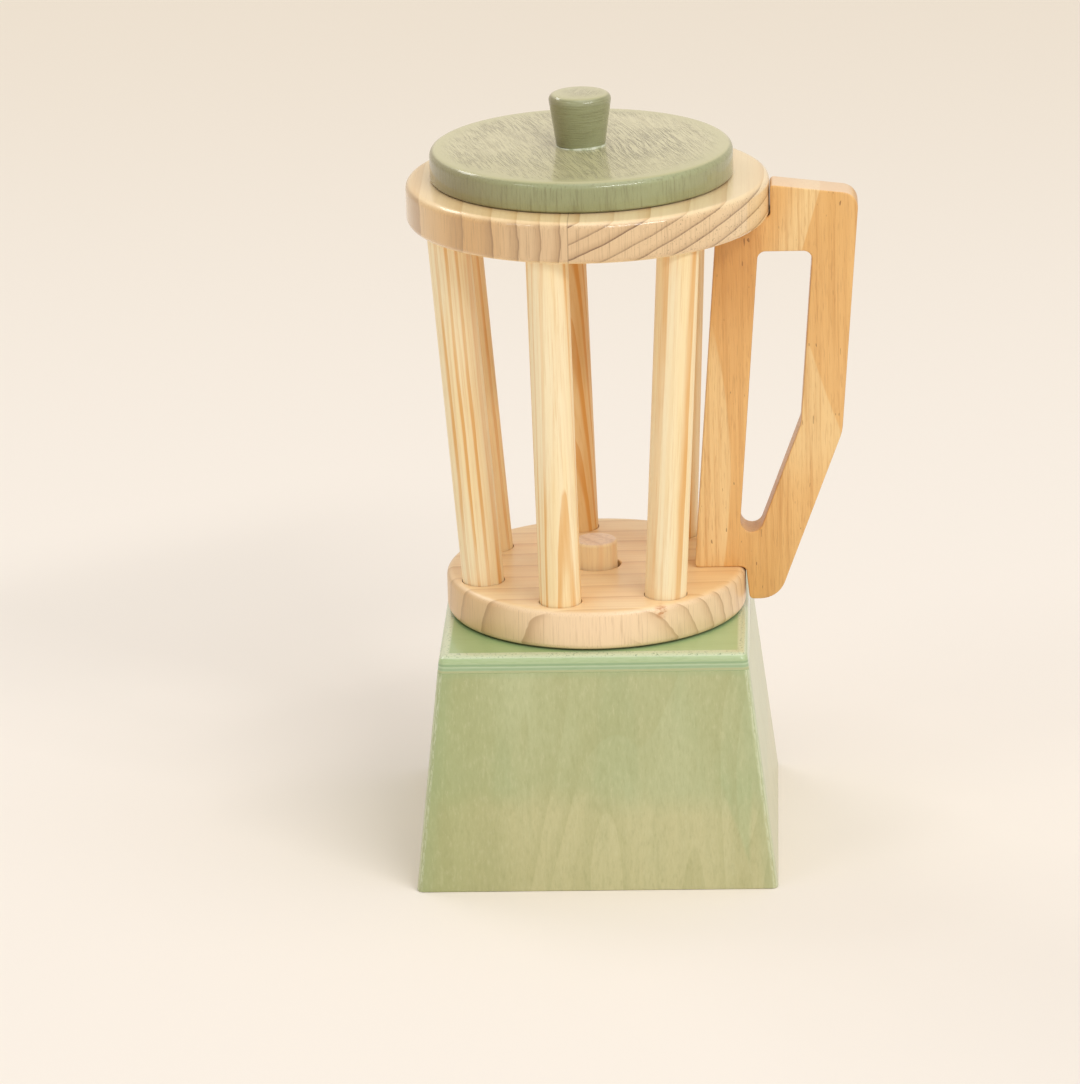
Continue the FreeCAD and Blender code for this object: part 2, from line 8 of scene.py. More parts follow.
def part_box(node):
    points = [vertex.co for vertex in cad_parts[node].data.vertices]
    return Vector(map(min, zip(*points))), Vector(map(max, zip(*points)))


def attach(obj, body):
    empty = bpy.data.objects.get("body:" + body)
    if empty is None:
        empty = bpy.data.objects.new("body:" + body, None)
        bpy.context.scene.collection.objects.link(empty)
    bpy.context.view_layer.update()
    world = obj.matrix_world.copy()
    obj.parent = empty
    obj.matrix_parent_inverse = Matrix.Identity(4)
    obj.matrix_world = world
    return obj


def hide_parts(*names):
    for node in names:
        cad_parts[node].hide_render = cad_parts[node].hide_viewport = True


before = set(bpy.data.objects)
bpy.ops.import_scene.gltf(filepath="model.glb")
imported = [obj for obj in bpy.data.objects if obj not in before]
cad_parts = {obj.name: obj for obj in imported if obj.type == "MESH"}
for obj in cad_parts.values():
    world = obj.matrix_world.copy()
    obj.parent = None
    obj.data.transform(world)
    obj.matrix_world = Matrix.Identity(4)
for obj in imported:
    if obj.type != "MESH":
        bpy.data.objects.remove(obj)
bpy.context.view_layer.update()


# ---------------------------------------------------------------------------------------------
# Plinth panels
# Four plywood boards lean inwards and meet in glued mitres. Their arrises are sanded round, and
# a thin green stain lets the grain show through under a satin varnish.

FOOT_EASING = 0.0006
JOINT_EASING = 0.00015
CORNER_RADIUS = 0.0026
MITRE_STEPS = 6
CRISP_EDGE = math.radians(35)
ARCH_TIP_ACROSS = 0.0550
ARCH_TIP_UP = 0.0075

board_low, board_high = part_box("base_top_board")
board_thickness = board_high.z - board_low.z
foot_half = -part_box("base_front_panel")[0].y
plinth_slope = (foot_half - board_high.x) / board_low.z
panel_wall = board_thickness * math.sqrt(1 + plinth_slope ** 2)


class Graph:
    """A node tree that is built one node at a time."""

    def __init__(self, tree):
        self.tree = tree
        tree.nodes.clear()

    def add(self, kind, settings, sockets, output=0):
        """Add a node: its settings come first, then the values or links of its sockets."""
        node = self.tree.nodes.new(kind)
        for name, choice in settings.items():
            setattr(node, name, choice)
        for name, given in sockets.items():
            if isinstance(given, Level):
                self.tree.links.new(given.socket, node.inputs[name])
            else:
                node.inputs[name].default_value = given
        return Level(self, node.outputs[output]) if node.outputs else None

    def maths(self, operation, *levels):
        """Work out one number from others."""
        return self.add("ShaderNodeMath", {"operation": operation}, dict(enumerate(levels)))

    def blend(self, share, first, second):
        """Go from one colour to another, written or worked out, by a share from 0 to 1."""
        shades = [colour(shade) if isinstance(shade, str) else shade for shade in (first, second)]
        sockets = {0: share, 6: shades[0], 7: shades[1]}
        return self.add("ShaderNodeMix", {"data_type": "RGBA"}, sockets, 2)

    def point(self):
        """Where a point lies, in the piece's own frame."""
        return self.add("ShaderNodeTexCoord", {}, {}, "Object")

    def facing(self):
        """The way a face looks, in the piece's own frame."""
        return self.add("ShaderNodeTexCoord", {}, {}, "Normal")


def arithmetic(operation):
    """An operator that adds a Math node, and its reflected form."""
    return (
        lambda level, other: level.graph.maths(operation, level, other),
        lambda level, other: level.graph.maths(operation, other, level),
    )


class Level:
    """A socket of a graph that ordinary arithmetic works on."""

    def __init__(self, graph, socket):
        self.graph = graph
        self.socket = socket

    __add__, __radd__ = arithmetic("ADD")
    __sub__, __rsub__ = arithmetic("SUBTRACT")
    __mul__, __rmul__ = arithmetic("MULTIPLY")
    __truediv__, __rtruediv__ = arithmetic("DIVIDE")
    __pow__, __rpow__ = arithmetic("POWER")

    def __abs__(self):
        return self.graph.maths("ABSOLUTE", self)

    def rise(self, low, high):
        """0 below low and 1 above high, with a soft step between; low may be the greater."""
        sockets = {"Value": self, "From Min": low, "From Max": high}
        return self.graph.add("ShaderNodeMapRange", {"interpolation_type": "SMOOTHSTEP"}, sockets)

    def tinted(self, tints):
        """This colour under tints, laid one after another: each a share from 0 to 1 and a tone."""
        shade = self
        for share, tone in tints:
            shade = self.graph.blend(share, shade, tone)
        return shade

    def parts(self):
        """The three numbers of a vector."""
        split = self.graph.add("ShaderNodeSeparateXYZ", {}, {"Vector": self})
        outputs = split.socket.node.outputs
        return [Level(self.graph, outputs[axis]) for axis in "XYZ"]

    def noise(self, repeats, shift=(0, 0, 0), detail=3.0, roughness=0.55):
        """Smooth noise over these places, with its own number of repeats a metre on each axis."""
        mapping = {"Vector": self, "Location": shift, "Scale": repeats}
        mapped = self.graph.add("ShaderNodeMapping", {}, mapping)
        sockets = {"Vector": mapped, "Scale": 1.0, "Detail": detail, "Roughness": roughness}
        return self.graph.add("ShaderNodeTexNoise", {}, sockets)


def colour(text):
    """A written colour as Blender's linear red, green, blue and opacity."""
    values = [int(text[start:start + 2], 16) / 255 for start in (1, 3, 5)]
    linear = [
        value / 12.92 if value <= 0.04045 else ((value + 0.055) / 1.055) ** 2.4
        for value in values
    ]
    return (*linear, 1.0)


def new_finish(name):
    """A material and its graph, still empty."""
    material = bpy.data.materials.new(name)
    material.use_nodes = True
    return material, Graph(material.node_tree)


def varnished(graph, shade, relief, depth, roughness=0.42, gloss=0.4, gloss_roughness=0.2):
    """Close a wood finish: its colour, the relief of its grain, and the varnish over it."""
    bump = {"Height": relief, "Strength": 0.7, "Distance": depth}
    sockets = {
        "Base Color": shade,
        "Roughness": roughness,
        "Normal": graph.add("ShaderNodeBump", {}, bump),
        "Coat Weight": gloss,
        "Coat Roughness": gloss_roughness,
    }
    surface = graph.add("ShaderNodeBsdfPrincipled", {}, sockets)
    graph.add("ShaderNodeOutputMaterial", {}, {"Surface": surface})


def green_panel(name, shift, green_edge, plain_edge, tan_below, painted_light_share):
    """Green stained plywood with upright grain: greener at one edge, and browner low down."""
    material, graph = new_finish(name)
    point = graph.point()
    across, back, up = point.parts()
    cloud = point.noise((30, 30, 16), shift)
    patches = point.noise((70, 70, 13), shift, detail=2.0)
    figure = point.noise((26, 26, 4), shift, detail=1.0)
    grain = point.noise((300, 300, 14), shift, detail=5.0, roughness=0.7)
    mottle = point.noise((650, 650, 240), shift, detail=2.0, roughness=0.6)
    fibre = point.noise((1500, 1500, 260), shift, roughness=0.7)
    veneer = graph.maths("FRACT", figure * 9)
    arches = veneer.rise(0.3, 0.97) * veneer.rise(1.0, 0.97)
    shade = graph.blend(cloud.rise(0.34, 0.68), "#b7ba87", "#bfc393")
    low = (up + (cloud - 0.5) * 0.016).rise(tan_below + 0.006, tan_below - 0.006)
    from_tip = up - ARCH_TIP_UP
    left_arm = across - ARCH_TIP_ACROSS + from_tip * 0.33
    right_arm = across - ARCH_TIP_ACROSS - from_tip * 0.05
    pointed = left_arm.rise(-0.0006, 0.0014) * right_arm.rise(0.0006, -0.0014)
    pointed = pointed * up.rise(0.050, 0.036) * back.rise(-0.050, -0.054)
    turned_green = across.rise(plain_edge, green_edge) ** 1.5
    nearer = graph.maths("MINIMUM", abs(across), abs(back))
    from_corner = foot_half - plinth_slope * up - nearer
    # A pale line down the round corners: partly wear, partly a painted highlight on the rounding.
    worn_and_lit_corner = from_corner.rise(0.0022, 0.0012) * from_corner.rise(0.0006, 0.0011)
    joint_stain_and_foot_shade = from_corner.rise(0.0010, 0.0005) * fibre.rise(0.40, 0.55)
    shade = shade.tinted([
        (patches.rise(0.50, 0.66) * 0.20, "#a6b888"),
        (low * 0.60, "#d2c896"),
        (pointed * 0.60, "#b0bc8a"),
        (turned_green * 0.6, "#9aa568"),
        (grain.rise(0.42, 0.75) * 0.22, "#a0a570"),
        (arches * 0.28, "#a9a972"),
        (mottle.rise(0.50, 0.75) * 0.20, "#999b66"),
        (mottle.rise(0.48, 0.25) * 0.16, "#dcd9ae"),
        (fibre.rise(0.50, 0.80) * 0.28, "#999b66"),
        (fibre.rise(0.46, 0.25) * 0.28, "#d6d4a8"),
        # painted light: a share of pale colour for the light that falls on this side of the plinth
        (painted_light_share, "#dfe2cc"),
        (from_corner.rise(0.008, 0.002) * 0.22, "#98b082"),
        (up.rise(board_low.z - 0.003, board_low.z) * 0.25, "#94b07e"),
        (worn_and_lit_corner * fibre.rise(0.35, 0.6) * 0.7, "#dadfbc"),
        (joint_stain_and_foot_shade * 0.5, "#87a27c"),
    ])
    varnished(graph, shade, fibre + grain, 0.00012, roughness=0.38, gloss=0.4)
    return material


def around(across, back, radius, angle, height):
    """A point at a height, a radius and an angle away from an upright line."""
    return Vector((across + radius * math.cos(angle), back + radius * math.sin(angle), height))


def outline_of_panel(height, inset):
    """The front panel's outline at a height, mitred through the middle of its round corners."""
    outer = foot_half - plinth_slope * height - inset
    inner = foot_half - plinth_slope * height - panel_wall
    radius = CORNER_RADIUS - inset
    centre = outer - radius
    points = []
    for side, first in ((-1, 225), (1, 270)):
        for step in range(MITRE_STEPS + 1):
            angle = math.radians(first + 45 * step / MITRE_STEPS)
            points.append(around(side * centre, -centre, radius, angle, height))
    points.append(Vector((inner, -inner, height)))
    points.append(Vector((-inner, -inner, height)))
    return points


def loft(loops):
    """A closed mesh through outlines that have the same count of points."""
    mesh = bmesh.new()
    rings = [[mesh.verts.new(point) for point in loop] for loop in loops]
    for lower, upper in zip(rings, rings[1:]):
        for number in range(len(lower)):
            following = (number + 1) % len(lower)
            mesh.faces.new((lower[number], lower[following], upper[following], upper[number]))
    mesh.faces.new(rings[0][::-1])
    mesh.faces.new(rings[-1])
    bmesh.ops.recalc_face_normals(mesh, faces=mesh.faces)
    return mesh


def added(name, data):
    """A new object in the scene, from its mesh, curve, lamp or camera."""
    made = bpy.data.objects.new(name, data)
    bpy.context.scene.collection.objects.link(made)
    return made


def finished(name, mesh, material):
    """A piece from a mesh in the making: smooth but for its crisp edges."""
    data = bpy.data.meshes.new(name)
    mesh.to_mesh(data)
    mesh.free()
    data.shade_smooth()
    data.set_sharp_from_angle(angle=CRISP_EDGE)
    data.materials.append(material)
    return added(name, data)


panel_levels = [
    (0.0, FOOT_EASING),
    (FOOT_EASING * 0.3, FOOT_EASING * 0.3),
    (FOOT_EASING, 0.0),
    (board_low.z - JOINT_EASING, 0.0),
    (board_low.z, JOINT_EASING),
]

# For each panel: where across it is greenest and where the green has gone, below what height it is
# tan, and what share of pale painted light lies over it, for the light that falls on its side.
panel_stains = {
    "front": (-0.064, -0.010, 0.033, 0.0),
    "right": (-0.3, -0.2, 0.030, 0.35),
    "back": (0.064, 0.010, 0.028, 0.0),
    "left": (-0.3, -0.2, 0.022, 0.1),
}
for turn, (side, tones) in enumerate(panel_stains.items()):
    stain = green_panel(f"green stain, {side}", (turn * 3.7, 1.3, turn * 0.9), *tones)
    panel_mesh = loft([outline_of_panel(*level) for level in panel_levels])
    panel_mesh.transform(Matrix.Rotation(turn * math.pi / 2, 4, "Z"))
    panel = finished(f"{side}_panel", panel_mesh, stain)
    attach(panel, "base")
    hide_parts(f"base_{side}_panel")


# ---------------------------------------------------------------------------------------------
# Top board
# A plywood board that caps the plinth. Its edges show the plies and its upper arris is rounded,
# and the peg stands in a hole through its middle.

BOARD_EASING = 0.0024
LEAST_CORNER_RADIUS = 0.0008
QUARTER_STEPS = 8
PEG_HOLE_GAP = 0.0001
DRILL_SIDES = 64

# For each ply: how far it lies below the top, half its thickness, its tone, and how strongly it
# shows at the edge.
PLIES = (
    (0.00300, 0.00040, "#84a378", 0.70),
    (0.00375, 0.00025, "#b9ccae", 0.40),
    (0.00445, 0.00045, "#8ca983", 0.60),
    (0.00540, 0.00045, "#b3ab78", 0.55),
)

peg_low, peg_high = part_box("spindle_peg")
jar_axis = (peg_low + peg_high) / 2
peg_radius = (peg_high.x - peg_low.x) / 2


def green_board(name):
    """Green stained plywood: long grain on top, plies as lines round the edge, a pale arris."""
    material, graph = new_finish(name)
    point = graph.point()
    across, back, up = point.parts()
    upwards = abs(graph.facing().parts()[2])
    cloud = point.noise((20, 20, 20), (5, 2, 0), detail=2.0)
    grain = point.noise((12, 420, 420), (2, 0, 0), detail=4.0, roughness=0.65)
    edge_grain = point.noise((260, 260, 2400))
    specks = point.noise((1200, 1200, 2600), (1, 5, 0), detail=1.0)
    # Painted shade: the top goes from darker at the left to lighter at the right, as the light falls
    # from the right.
    top = graph.blend(across.rise(-0.05, 0.05), "#9ab679", "#adc88e")
    side = graph.blend(edge_grain.rise(0.4, 0.7) * 0.6, "#b3c696", "#a2ba82")
    level = up + (cloud - 0.5) * 0.0005 + (edge_grain - 0.5) * 0.0002
    top = top.tinted([
        (cloud.rise(0.35, 0.65) * 0.3, "#aac58a"),
        (grain.rise(0.45, 0.8) * 0.3, "#8ba56c"),
    ])
    for depth, half, tone, share in PLIES:
        line = abs(level - (board_high.z - depth)).rise(half * 1.5, half * 0.4)
        side = graph.blend(line * share, side, tone)
    shade = graph.blend(upwards.rise(0.55, 0.92), side, top)
    from_edge = board_high.x - graph.maths("MAXIMUM", abs(across), abs(back) + 0.0012)
    # The pale band along the upper arris is partly worn paint and partly a painted highlight; the dark
    # specks are in the paint.
    arris = upwards.rise(0.66, 0.86) * from_edge.rise(0.0046, 0.0036)
    shade = shade.tinted([
        (arris * 0.75, "#dce3c2"),
        (arris * specks.rise(0.58, 0.70) * 0.7, "#7f9a72"),
    ])
    varnished(graph, shade, grain + edge_grain, 0.0001, roughness=0.34, gloss=0.9, gloss_roughness=0.12)
    return material


def outline_of_board(height, inset):
    """The board's square outline with round corners at a height."""
    outer = foot_half - plinth_slope * height - inset
    radius = max(CORNER_RADIUS - inset / 2, LEAST_CORNER_RADIUS)
    centre = outer - radius
    points = []
    for number, (across, back) in enumerate(((1, -1), (1, 1), (-1, 1), (-1, -1))):
        for step in range(QUARTER_STEPS + 1):
            angle = math.radians(90 * (number - 1 + step / QUARTER_STEPS))
            points.append(around(across * centre, back * centre, radius, angle, height))
    return points


def evaluated(made):
    """A plain mesh of what an object looks like once its modifiers have worked."""
    return bpy.data.meshes.new_from_object(
        made.evaluated_get(bpy.context.evaluated_depsgraph_get())
    )


def bore(blank, drills):
    """Cut round holes in a piece: each drill is a start, an end and a radius."""
    mesh = bmesh.new()
    for start, end, radius in drills:
        run = end - start
        tilt = run.to_track_quat("Z", "Y").to_matrix().to_4x4()
        bmesh.ops.create_cone(
            mesh, cap_ends=True, segments=DRILL_SIDES, radius1=radius, radius2=radius,
            depth=run.length, matrix=Matrix.Translation((start + end) / 2) @ tilt,
        )
    drilled = finished("drill", mesh, blank.data.materials[0])
    cut = blank.modifiers.new("bore", "BOOLEAN")
    cut.operation = "DIFFERENCE"
    cut.solver = "EXACT"
    cut.object = drilled
    bored = evaluated(blank)
    blank.modifiers.clear()
    blank.data = bored
    bored.set_sharp_from_angle(angle=CRISP_EDGE)
    bpy.data.objects.remove(drilled)


board_levels = [(board_low.z, JOINT_EASING), (board_low.z + JOINT_EASING, 0.0)]
for step in range(QUARTER_STEPS + 1):
    angle = math.pi / 2 * step / QUARTER_STEPS
    board_levels.append((
        board_high.z - BOARD_EASING * (1 - math.sin(angle)),
        BOARD_EASING * (1 - math.cos(angle)),
    ))
board = finished(
    "top_board",
    loft([outline_of_board(*level) for level in board_levels]),
    green_board("green stain, top board"),
)
hole_middle = Vector((jar_axis.x, jar_axis.y, board_high.z))
board_reach = Vector((0, 0, board_thickness * 1.5))
bore(board, [(hole_middle - board_reach, hole_middle + board_reach, peg_radius + PEG_HOLE_GAP)])
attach(board, "base")
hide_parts("base_top_board")


# ---------------------------------------------------------------------------------------------
# Bottom board, corner blocks and spindle block
# The bottom is the same plywood, stained. The blocks inside are plain pine, glued into the
# corners and under the top board, where one gives the peg its depth.


def sawn_pine(name):
    """Sawn pine with upright grain."""
    material, graph = new_finish(name)
    point = graph.point()
    grain = point.noise((260, 260, 12), detail=4.0)
    rings = graph.maths("PINGPONG", point.noise((260 / 6, 260 / 6, 2)) * 9, 0.5) * 2
    shade = graph.blend(grain.rise(0.35, 0.7), "#eccf9c", "#dcb47c")
    shade = graph.blend(rings.rise(0.6, 1.0) * 0.5, shade, "#c8935a")
    varnished(graph, shade, grain, 0.0002, roughness=0.7, gloss=0.0)
    return material


def dress(node, material):
    """Give a piece that stays as the CAD made it its finish."""
    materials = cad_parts[node].data.materials
    materials.clear()
    materials.append(material)


dress("base_bottom_board", green_board("green stain, bottom board"))
block_pine = sawn_pine("sawn pine, upright grain")
for block in ("corner_block_1", "corner_block_2", "corner_block_3", "corner_block_4", "spindle_block"):
    dress(block, block_pine)


# ---------------------------------------------------------------------------------------------
# Peg
# A pine dowel that stands upright in the bore of the top board and its block, its upper end
# eased. The jar drops over it and turns about it.

PEG_EASING = 0.0013
PEG_SIDES = 96
TURNED_SIDES = 180
ARC_STEP = math.radians(9)
MERGE_DISTANCE = 1e-7


def rounded(corners):
    """An outline whose corners are arcs; each corner is across, up and its radius."""
    points = []
    for before, corner, after in zip(corners[-1:] + corners[:-1], corners, corners[1:] + corners[:1]):
        spot = Vector(corner[:2])
        radius = corner[2]
        if radius == 0:
            points.append(spot)
            continue
        arriving = (Vector(before[:2]) - spot).normalized()
        leaving = (Vector(after[:2]) - spot).normalized()
        half = arriving.angle(leaving) / 2
        centre = spot + (arriving + leaving).normalized() * (radius / math.sin(half))
        start = spot + arriving * (radius / math.tan(half)) - centre
        swing = math.copysign(math.pi - 2 * half, -arriving.cross(leaving))
        count = max(2, math.ceil(abs(swing) / ARC_STEP))
        for number in range(count + 1):
            points.append(centre + Matrix.Rotation(swing * number / count, 2) @ start)
    return points


def hooped(axis, profiles):
    """A closed mesh through half profiles that stand at even steps round an upright axis.

    Each profile is a closed loop of radius and height.
    """
    mesh = bmesh.new()
    foot = Vector((axis.x, axis.y, 0))
    rings = []
    for number, profile in enumerate(profiles):
        angle = math.tau * number / len(profiles)
        way = Vector((math.cos(angle), math.sin(angle), 0))
        rings.append([mesh.verts.new(foot + way * out + Vector((0, 0, up))) for out, up in profile])
    for ring, following, profile in zip(rings, rings[1:] + rings[:1], profiles):
        for number, (out, _) in enumerate(profile):
            after = (number + 1) % len(profile)
            if out > 0 or profile[after][0] > 0:
                mesh.faces.new((ring[number], following[number], following[after], ring[after]))
    bmesh.ops.remove_doubles(mesh, verts=mesh.verts, dist=MERGE_DISTANCE)
    bmesh.ops.dissolve_degenerate(mesh, edges=mesh.edges, dist=MERGE_DISTANCE)
    bmesh.ops.recalc_face_normals(mesh, faces=mesh.faces)
    return mesh


def turned(profile, axis, sides=TURNED_SIDES):
    """A closed mesh turned about an upright axis from one closed half profile."""
    return hooped(axis, [profile] * sides)


def dowel_wood(name, axis):
    """Pinkish pine dowel: faint streaks along its sides, greyer and ringed on its end."""
    material, graph = new_finish(name)
    point = graph.point()
    across, back, _ = point.parts()
    upwards = abs(graph.facing().parts()[2]).rise(0.6, 0.95)
    warp = point.noise((90, 90, 6), detail=2.0) - 0.5
    grain = point.noise((900, 900, 30), detail=4.0, roughness=0.65)
    years = ((across - axis.x) * 0.8 + (back - axis.y) * 0.6 + warp * 0.006) / 0.0031
    late = graph.maths("PINGPONG", years + 20, 1.0).rise(0.45, 1.0)
    side = graph.blend(late * 0.35, "#fde2b0", "#ecb67a")
    end = graph.blend(late * 0.35, "#fbdfc2", "#d4ae90")
    side = graph.blend(grain.rise(0.48, 0.8) * 0.35, side, "#cf9a68")
    end = graph.blend(grain.rise(0.45, 0.75) * 0.35, end, "#b9998a")
    varnished(graph, graph.blend(upwards, side, end), grain, 0.0001, roughness=0.5, gloss=0.2)
    return material


peg_profile = rounded([
    (0, peg_low.z, 0),
    (peg_radius, peg_low.z, 0),
    (peg_radius, peg_high.z, PEG_EASING),
    (0, peg_high.z, 0),
])
peg_pine = dowel_wood("pine dowel, peg", jar_axis)
peg = finished("peg", turned(peg_profile, jar_axis, PEG_SIDES), peg_pine)
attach(peg, "spindle")
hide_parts("spindle_peg")


# ---------------------------------------------------------------------------------------------
# Floor disc
# A thick pine disc turned with round rims. Six slanted blind holes take the bars, a dowel hole
# takes the handle's pin, and the oversize hole in the middle drops over the peg.

DISC_ROUNDING = 0.0026
HOLE_EASING = 0.0007
HOLE_PLAY = 0.0011
SOCKET_DEPTH = 0.009
SOCKET_GAP = 0.00028
PIN_GAP = 0.0001
BAR_INSET_IN_FLOOR = 0.0105
BAR_INSET_IN_RING = 0.011
BAR_PLACES = 7
BAR_TURN = math.radians(-2.5)
BAR_TWIST = math.radians(1.5)
BAR_RADIUS = 0.0075
PITH_IN_FRONT = 0.125
PITH_HEIGHT = 0.065
YEAR_END = 0.0861
YEAR_WIDTH = 0.0121
CLOSER_YEARS = 2.24
KNOT_ACROSS = 0.0245
KNOT_IN_FRONT = 0.0445
KNOT_HEIGHT = 0.0990
CONTACT_SHADE_HEIGHT = 0.0012

floor_low, floor_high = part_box("floor_disc")
ring_low, ring_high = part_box("top_ring")
floor_radius = (floor_high.x - floor_low.x) / 2
ring_radius = (ring_high.x - ring_low.x) / 2

# The bars and the handle share the circle. The handle has the first place.
bar_axes = []
for number in range(1, BAR_PLACES):
    angle = BAR_TURN + number * math.tau / BAR_PLACES
    low = around(*jar_axis.xy, floor_radius - BAR_INSET_IN_FLOOR, angle, floor_high.z)
    high = around(*jar_axis.xy, ring_radius - BAR_INSET_IN_RING, angle + BAR_TWIST, ring_low.z)
    sunk = (high - low).normalized() * SOCKET_DEPTH
    bar_axes.append((low - sunk, high + sunk))


def growth_rings(years):
    """From a count of years: the tint of each year's late wood, and its dark sharp last line.

    Some years are stronger than others, and whole years added to the count choose which.
    """
    graph = years.graph
    year = graph.maths("FRACT", years)
    count = {"W": graph.maths("FLOOR", years)}
    vigour = graph.add("ShaderNodeTexWhiteNoise", {"noise_dimensions": "1D"}, count, "Value")
    ended = year.rise(1.0, 0.975) * (vigour * 0.5 + 0.5)
    return year.rise(0.40, 0.97) * ended, year.rise(0.82, 0.975) * ended


def distance(first, second):
    """How far from a line, given the two distances square to each other."""
    return (first * first + second * second) ** 0.5


def floor_pine(name):
    """A flat sawn pine board with its grain from side to side and end grain on two sides."""
    material, graph = new_finish(name)
    point = graph.point()
    across, back, up = point.parts()
    sideways, _, upwards = graph.facing().parts()
    ending = abs(sideways).rise(0.25, 0.95)
    level = abs(upwards).rise(0.5, 0.95)
    wander = point.noise((9, 34, 60), (1.7, 0, 0)) - 0.5
    pith = distance(back - across * 0.05 + PITH_IN_FRONT, up - PITH_HEIGHT)
    years = (pith - YEAR_END + wander * 0.0045) / YEAR_WIDTH + 10
    band, line = growth_rings(years)
    fine = graph.maths("PINGPONG", years * 5, 1.0).rise(0.5, 1.0)
    grain = point.noise((14, 900, 900), detail=4.0, roughness=0.7)
    marks = point.noise((2200, 2200, 70), (0, 3, 0), roughness=0.7)
    cloud = point.noise((26, 26, 26), (4, 0, 0))
    shade = graph.blend(cloud.rise(0.35, 0.65), "#ffe2b2", "#fbd7a2")
    rim = 1 - level
    # Painted shade: the end grain is darker at the left than at the right, for the light that comes
    # from the right.
    end = graph.blend(across.rise(-0.03, 0.03), "#e3bb83", "#efcfa1")
    end = graph.blend(cloud.rise(0.45, 0.75) * 0.4, end, "#d6ae7c")
    end = graph.blend(ending, "#fbdcb2", end)
    shade = shade.tinted([
        # painted shade: the top darker toward the right, to even out the stronger light on that side
        (across.rise(0.010, 0.045) * 0.7, "#f1c98c"),
        (grain.rise(0.42, 0.75) * level * 0.28, "#e2b27a"),
        (fine * level * 0.10, "#d9a266"),
        (band * level * 0.24, "#dc9f58"),
        (line * level * 0.30, "#b87e45"),
    ])
    shade = graph.blend(rim, shade, end)
    closer_band, closer_line = growth_rings(years * CLOSER_YEARS + 0.74)
    to_right = across.rise(0.004, 0.010)
    rim_band = band + (closer_band - band) * to_right
    rim_line = line + (closer_line - line) * to_right
    ringed = rim * abs(sideways).rise(0.20, 0.42)
    out = distance(across - jar_axis.x, back - jar_axis.y)
    # Painted shade: a dark line round the foot of the rim, where the disc sits on the board.
    painted_contact_shade = up.rise(floor_low.z + CONTACT_SHADE_HEIGHT, floor_low.z + CONTACT_SHADE_HEIGHT / 3)
    painted_contact_shade = painted_contact_shade * (out - floor_radius).rise(-0.004, -0.002)
    knot = distance((across - KNOT_ACROSS) * 1.2, (up - KNOT_HEIGHT) * 1.1)
    knot = knot + abs(back + KNOT_IN_FRONT) * 0.4
    speckled = knot.rise(0.0042, 0.0012) * grain.rise(0.35, 0.6)
    shade = shade.tinted([
        (rim_band * ringed * 0.50, "#c4955e"),
        (rim_line * ringed * 0.45, "#9c6f46"),
        (marks.rise(0.48, 0.74) * rim * 0.42, "#c09a70"),
        (painted_contact_shade * 0.92, "#3b2710"),
        (speckled * 0.8, "#c77f3e"),
    ])
    varnished(graph, shade, grain * level + marks * rim, 0.00015)
    return material


floor_blank = rounded([
    (peg_radius + HOLE_PLAY, floor_low.z, HOLE_EASING),
    (floor_radius, floor_low.z, DISC_ROUNDING),
    (floor_radius, floor_high.z, DISC_ROUNDING),
    (peg_radius + HOLE_PLAY, floor_high.z, HOLE_EASING),
])
floor_disc = finished("jar_floor", turned(floor_blank, jar_axis), floor_pine("pine, floor disc"))


def pin_drill(pin):
    """The drill that makes an upright pin's hole."""
    low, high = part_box(pin)
    middle = (low + high) / 2
    radius = (high.x - low.x) / 2 + PIN_GAP
    return (Vector((middle.x, middle.y, low.z)), Vector((middle.x, middle.y, high.z)), radius)


socket_drills = [(low, high, BAR_RADIUS + SOCKET_GAP) for low, high in bar_axes]
bore(floor_disc, [*socket_drills, pin_drill("handle_pin_low")])
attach(floor_disc, "jar")
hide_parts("floor_disc")


# ---------------------------------------------------------------------------------------------
# Top ring
# Two pine strips glued edge to edge and turned to a thick ring with round rims. It takes the
# bars' upper ends in blind holes and the handle's upper pin, and the lid sits in its mouth.

RING_ROUNDING = 0.0026
MOUTH_EASING = 0.0015
MOUTH_RADIUS = 0.043
GLUE_SEAM = -0.005
LEFT_PITH_OUTSIDE = 0.135
LEFT_PITH_HEIGHT = 0.2395
WIDEST_YEAR = 0.0767
LEFT_YEARS_PER_MM = 0.0461
LEFT_YEARS_GAIN = 0.001036
RIGHT_YEAR_WIDTH = 0.0055


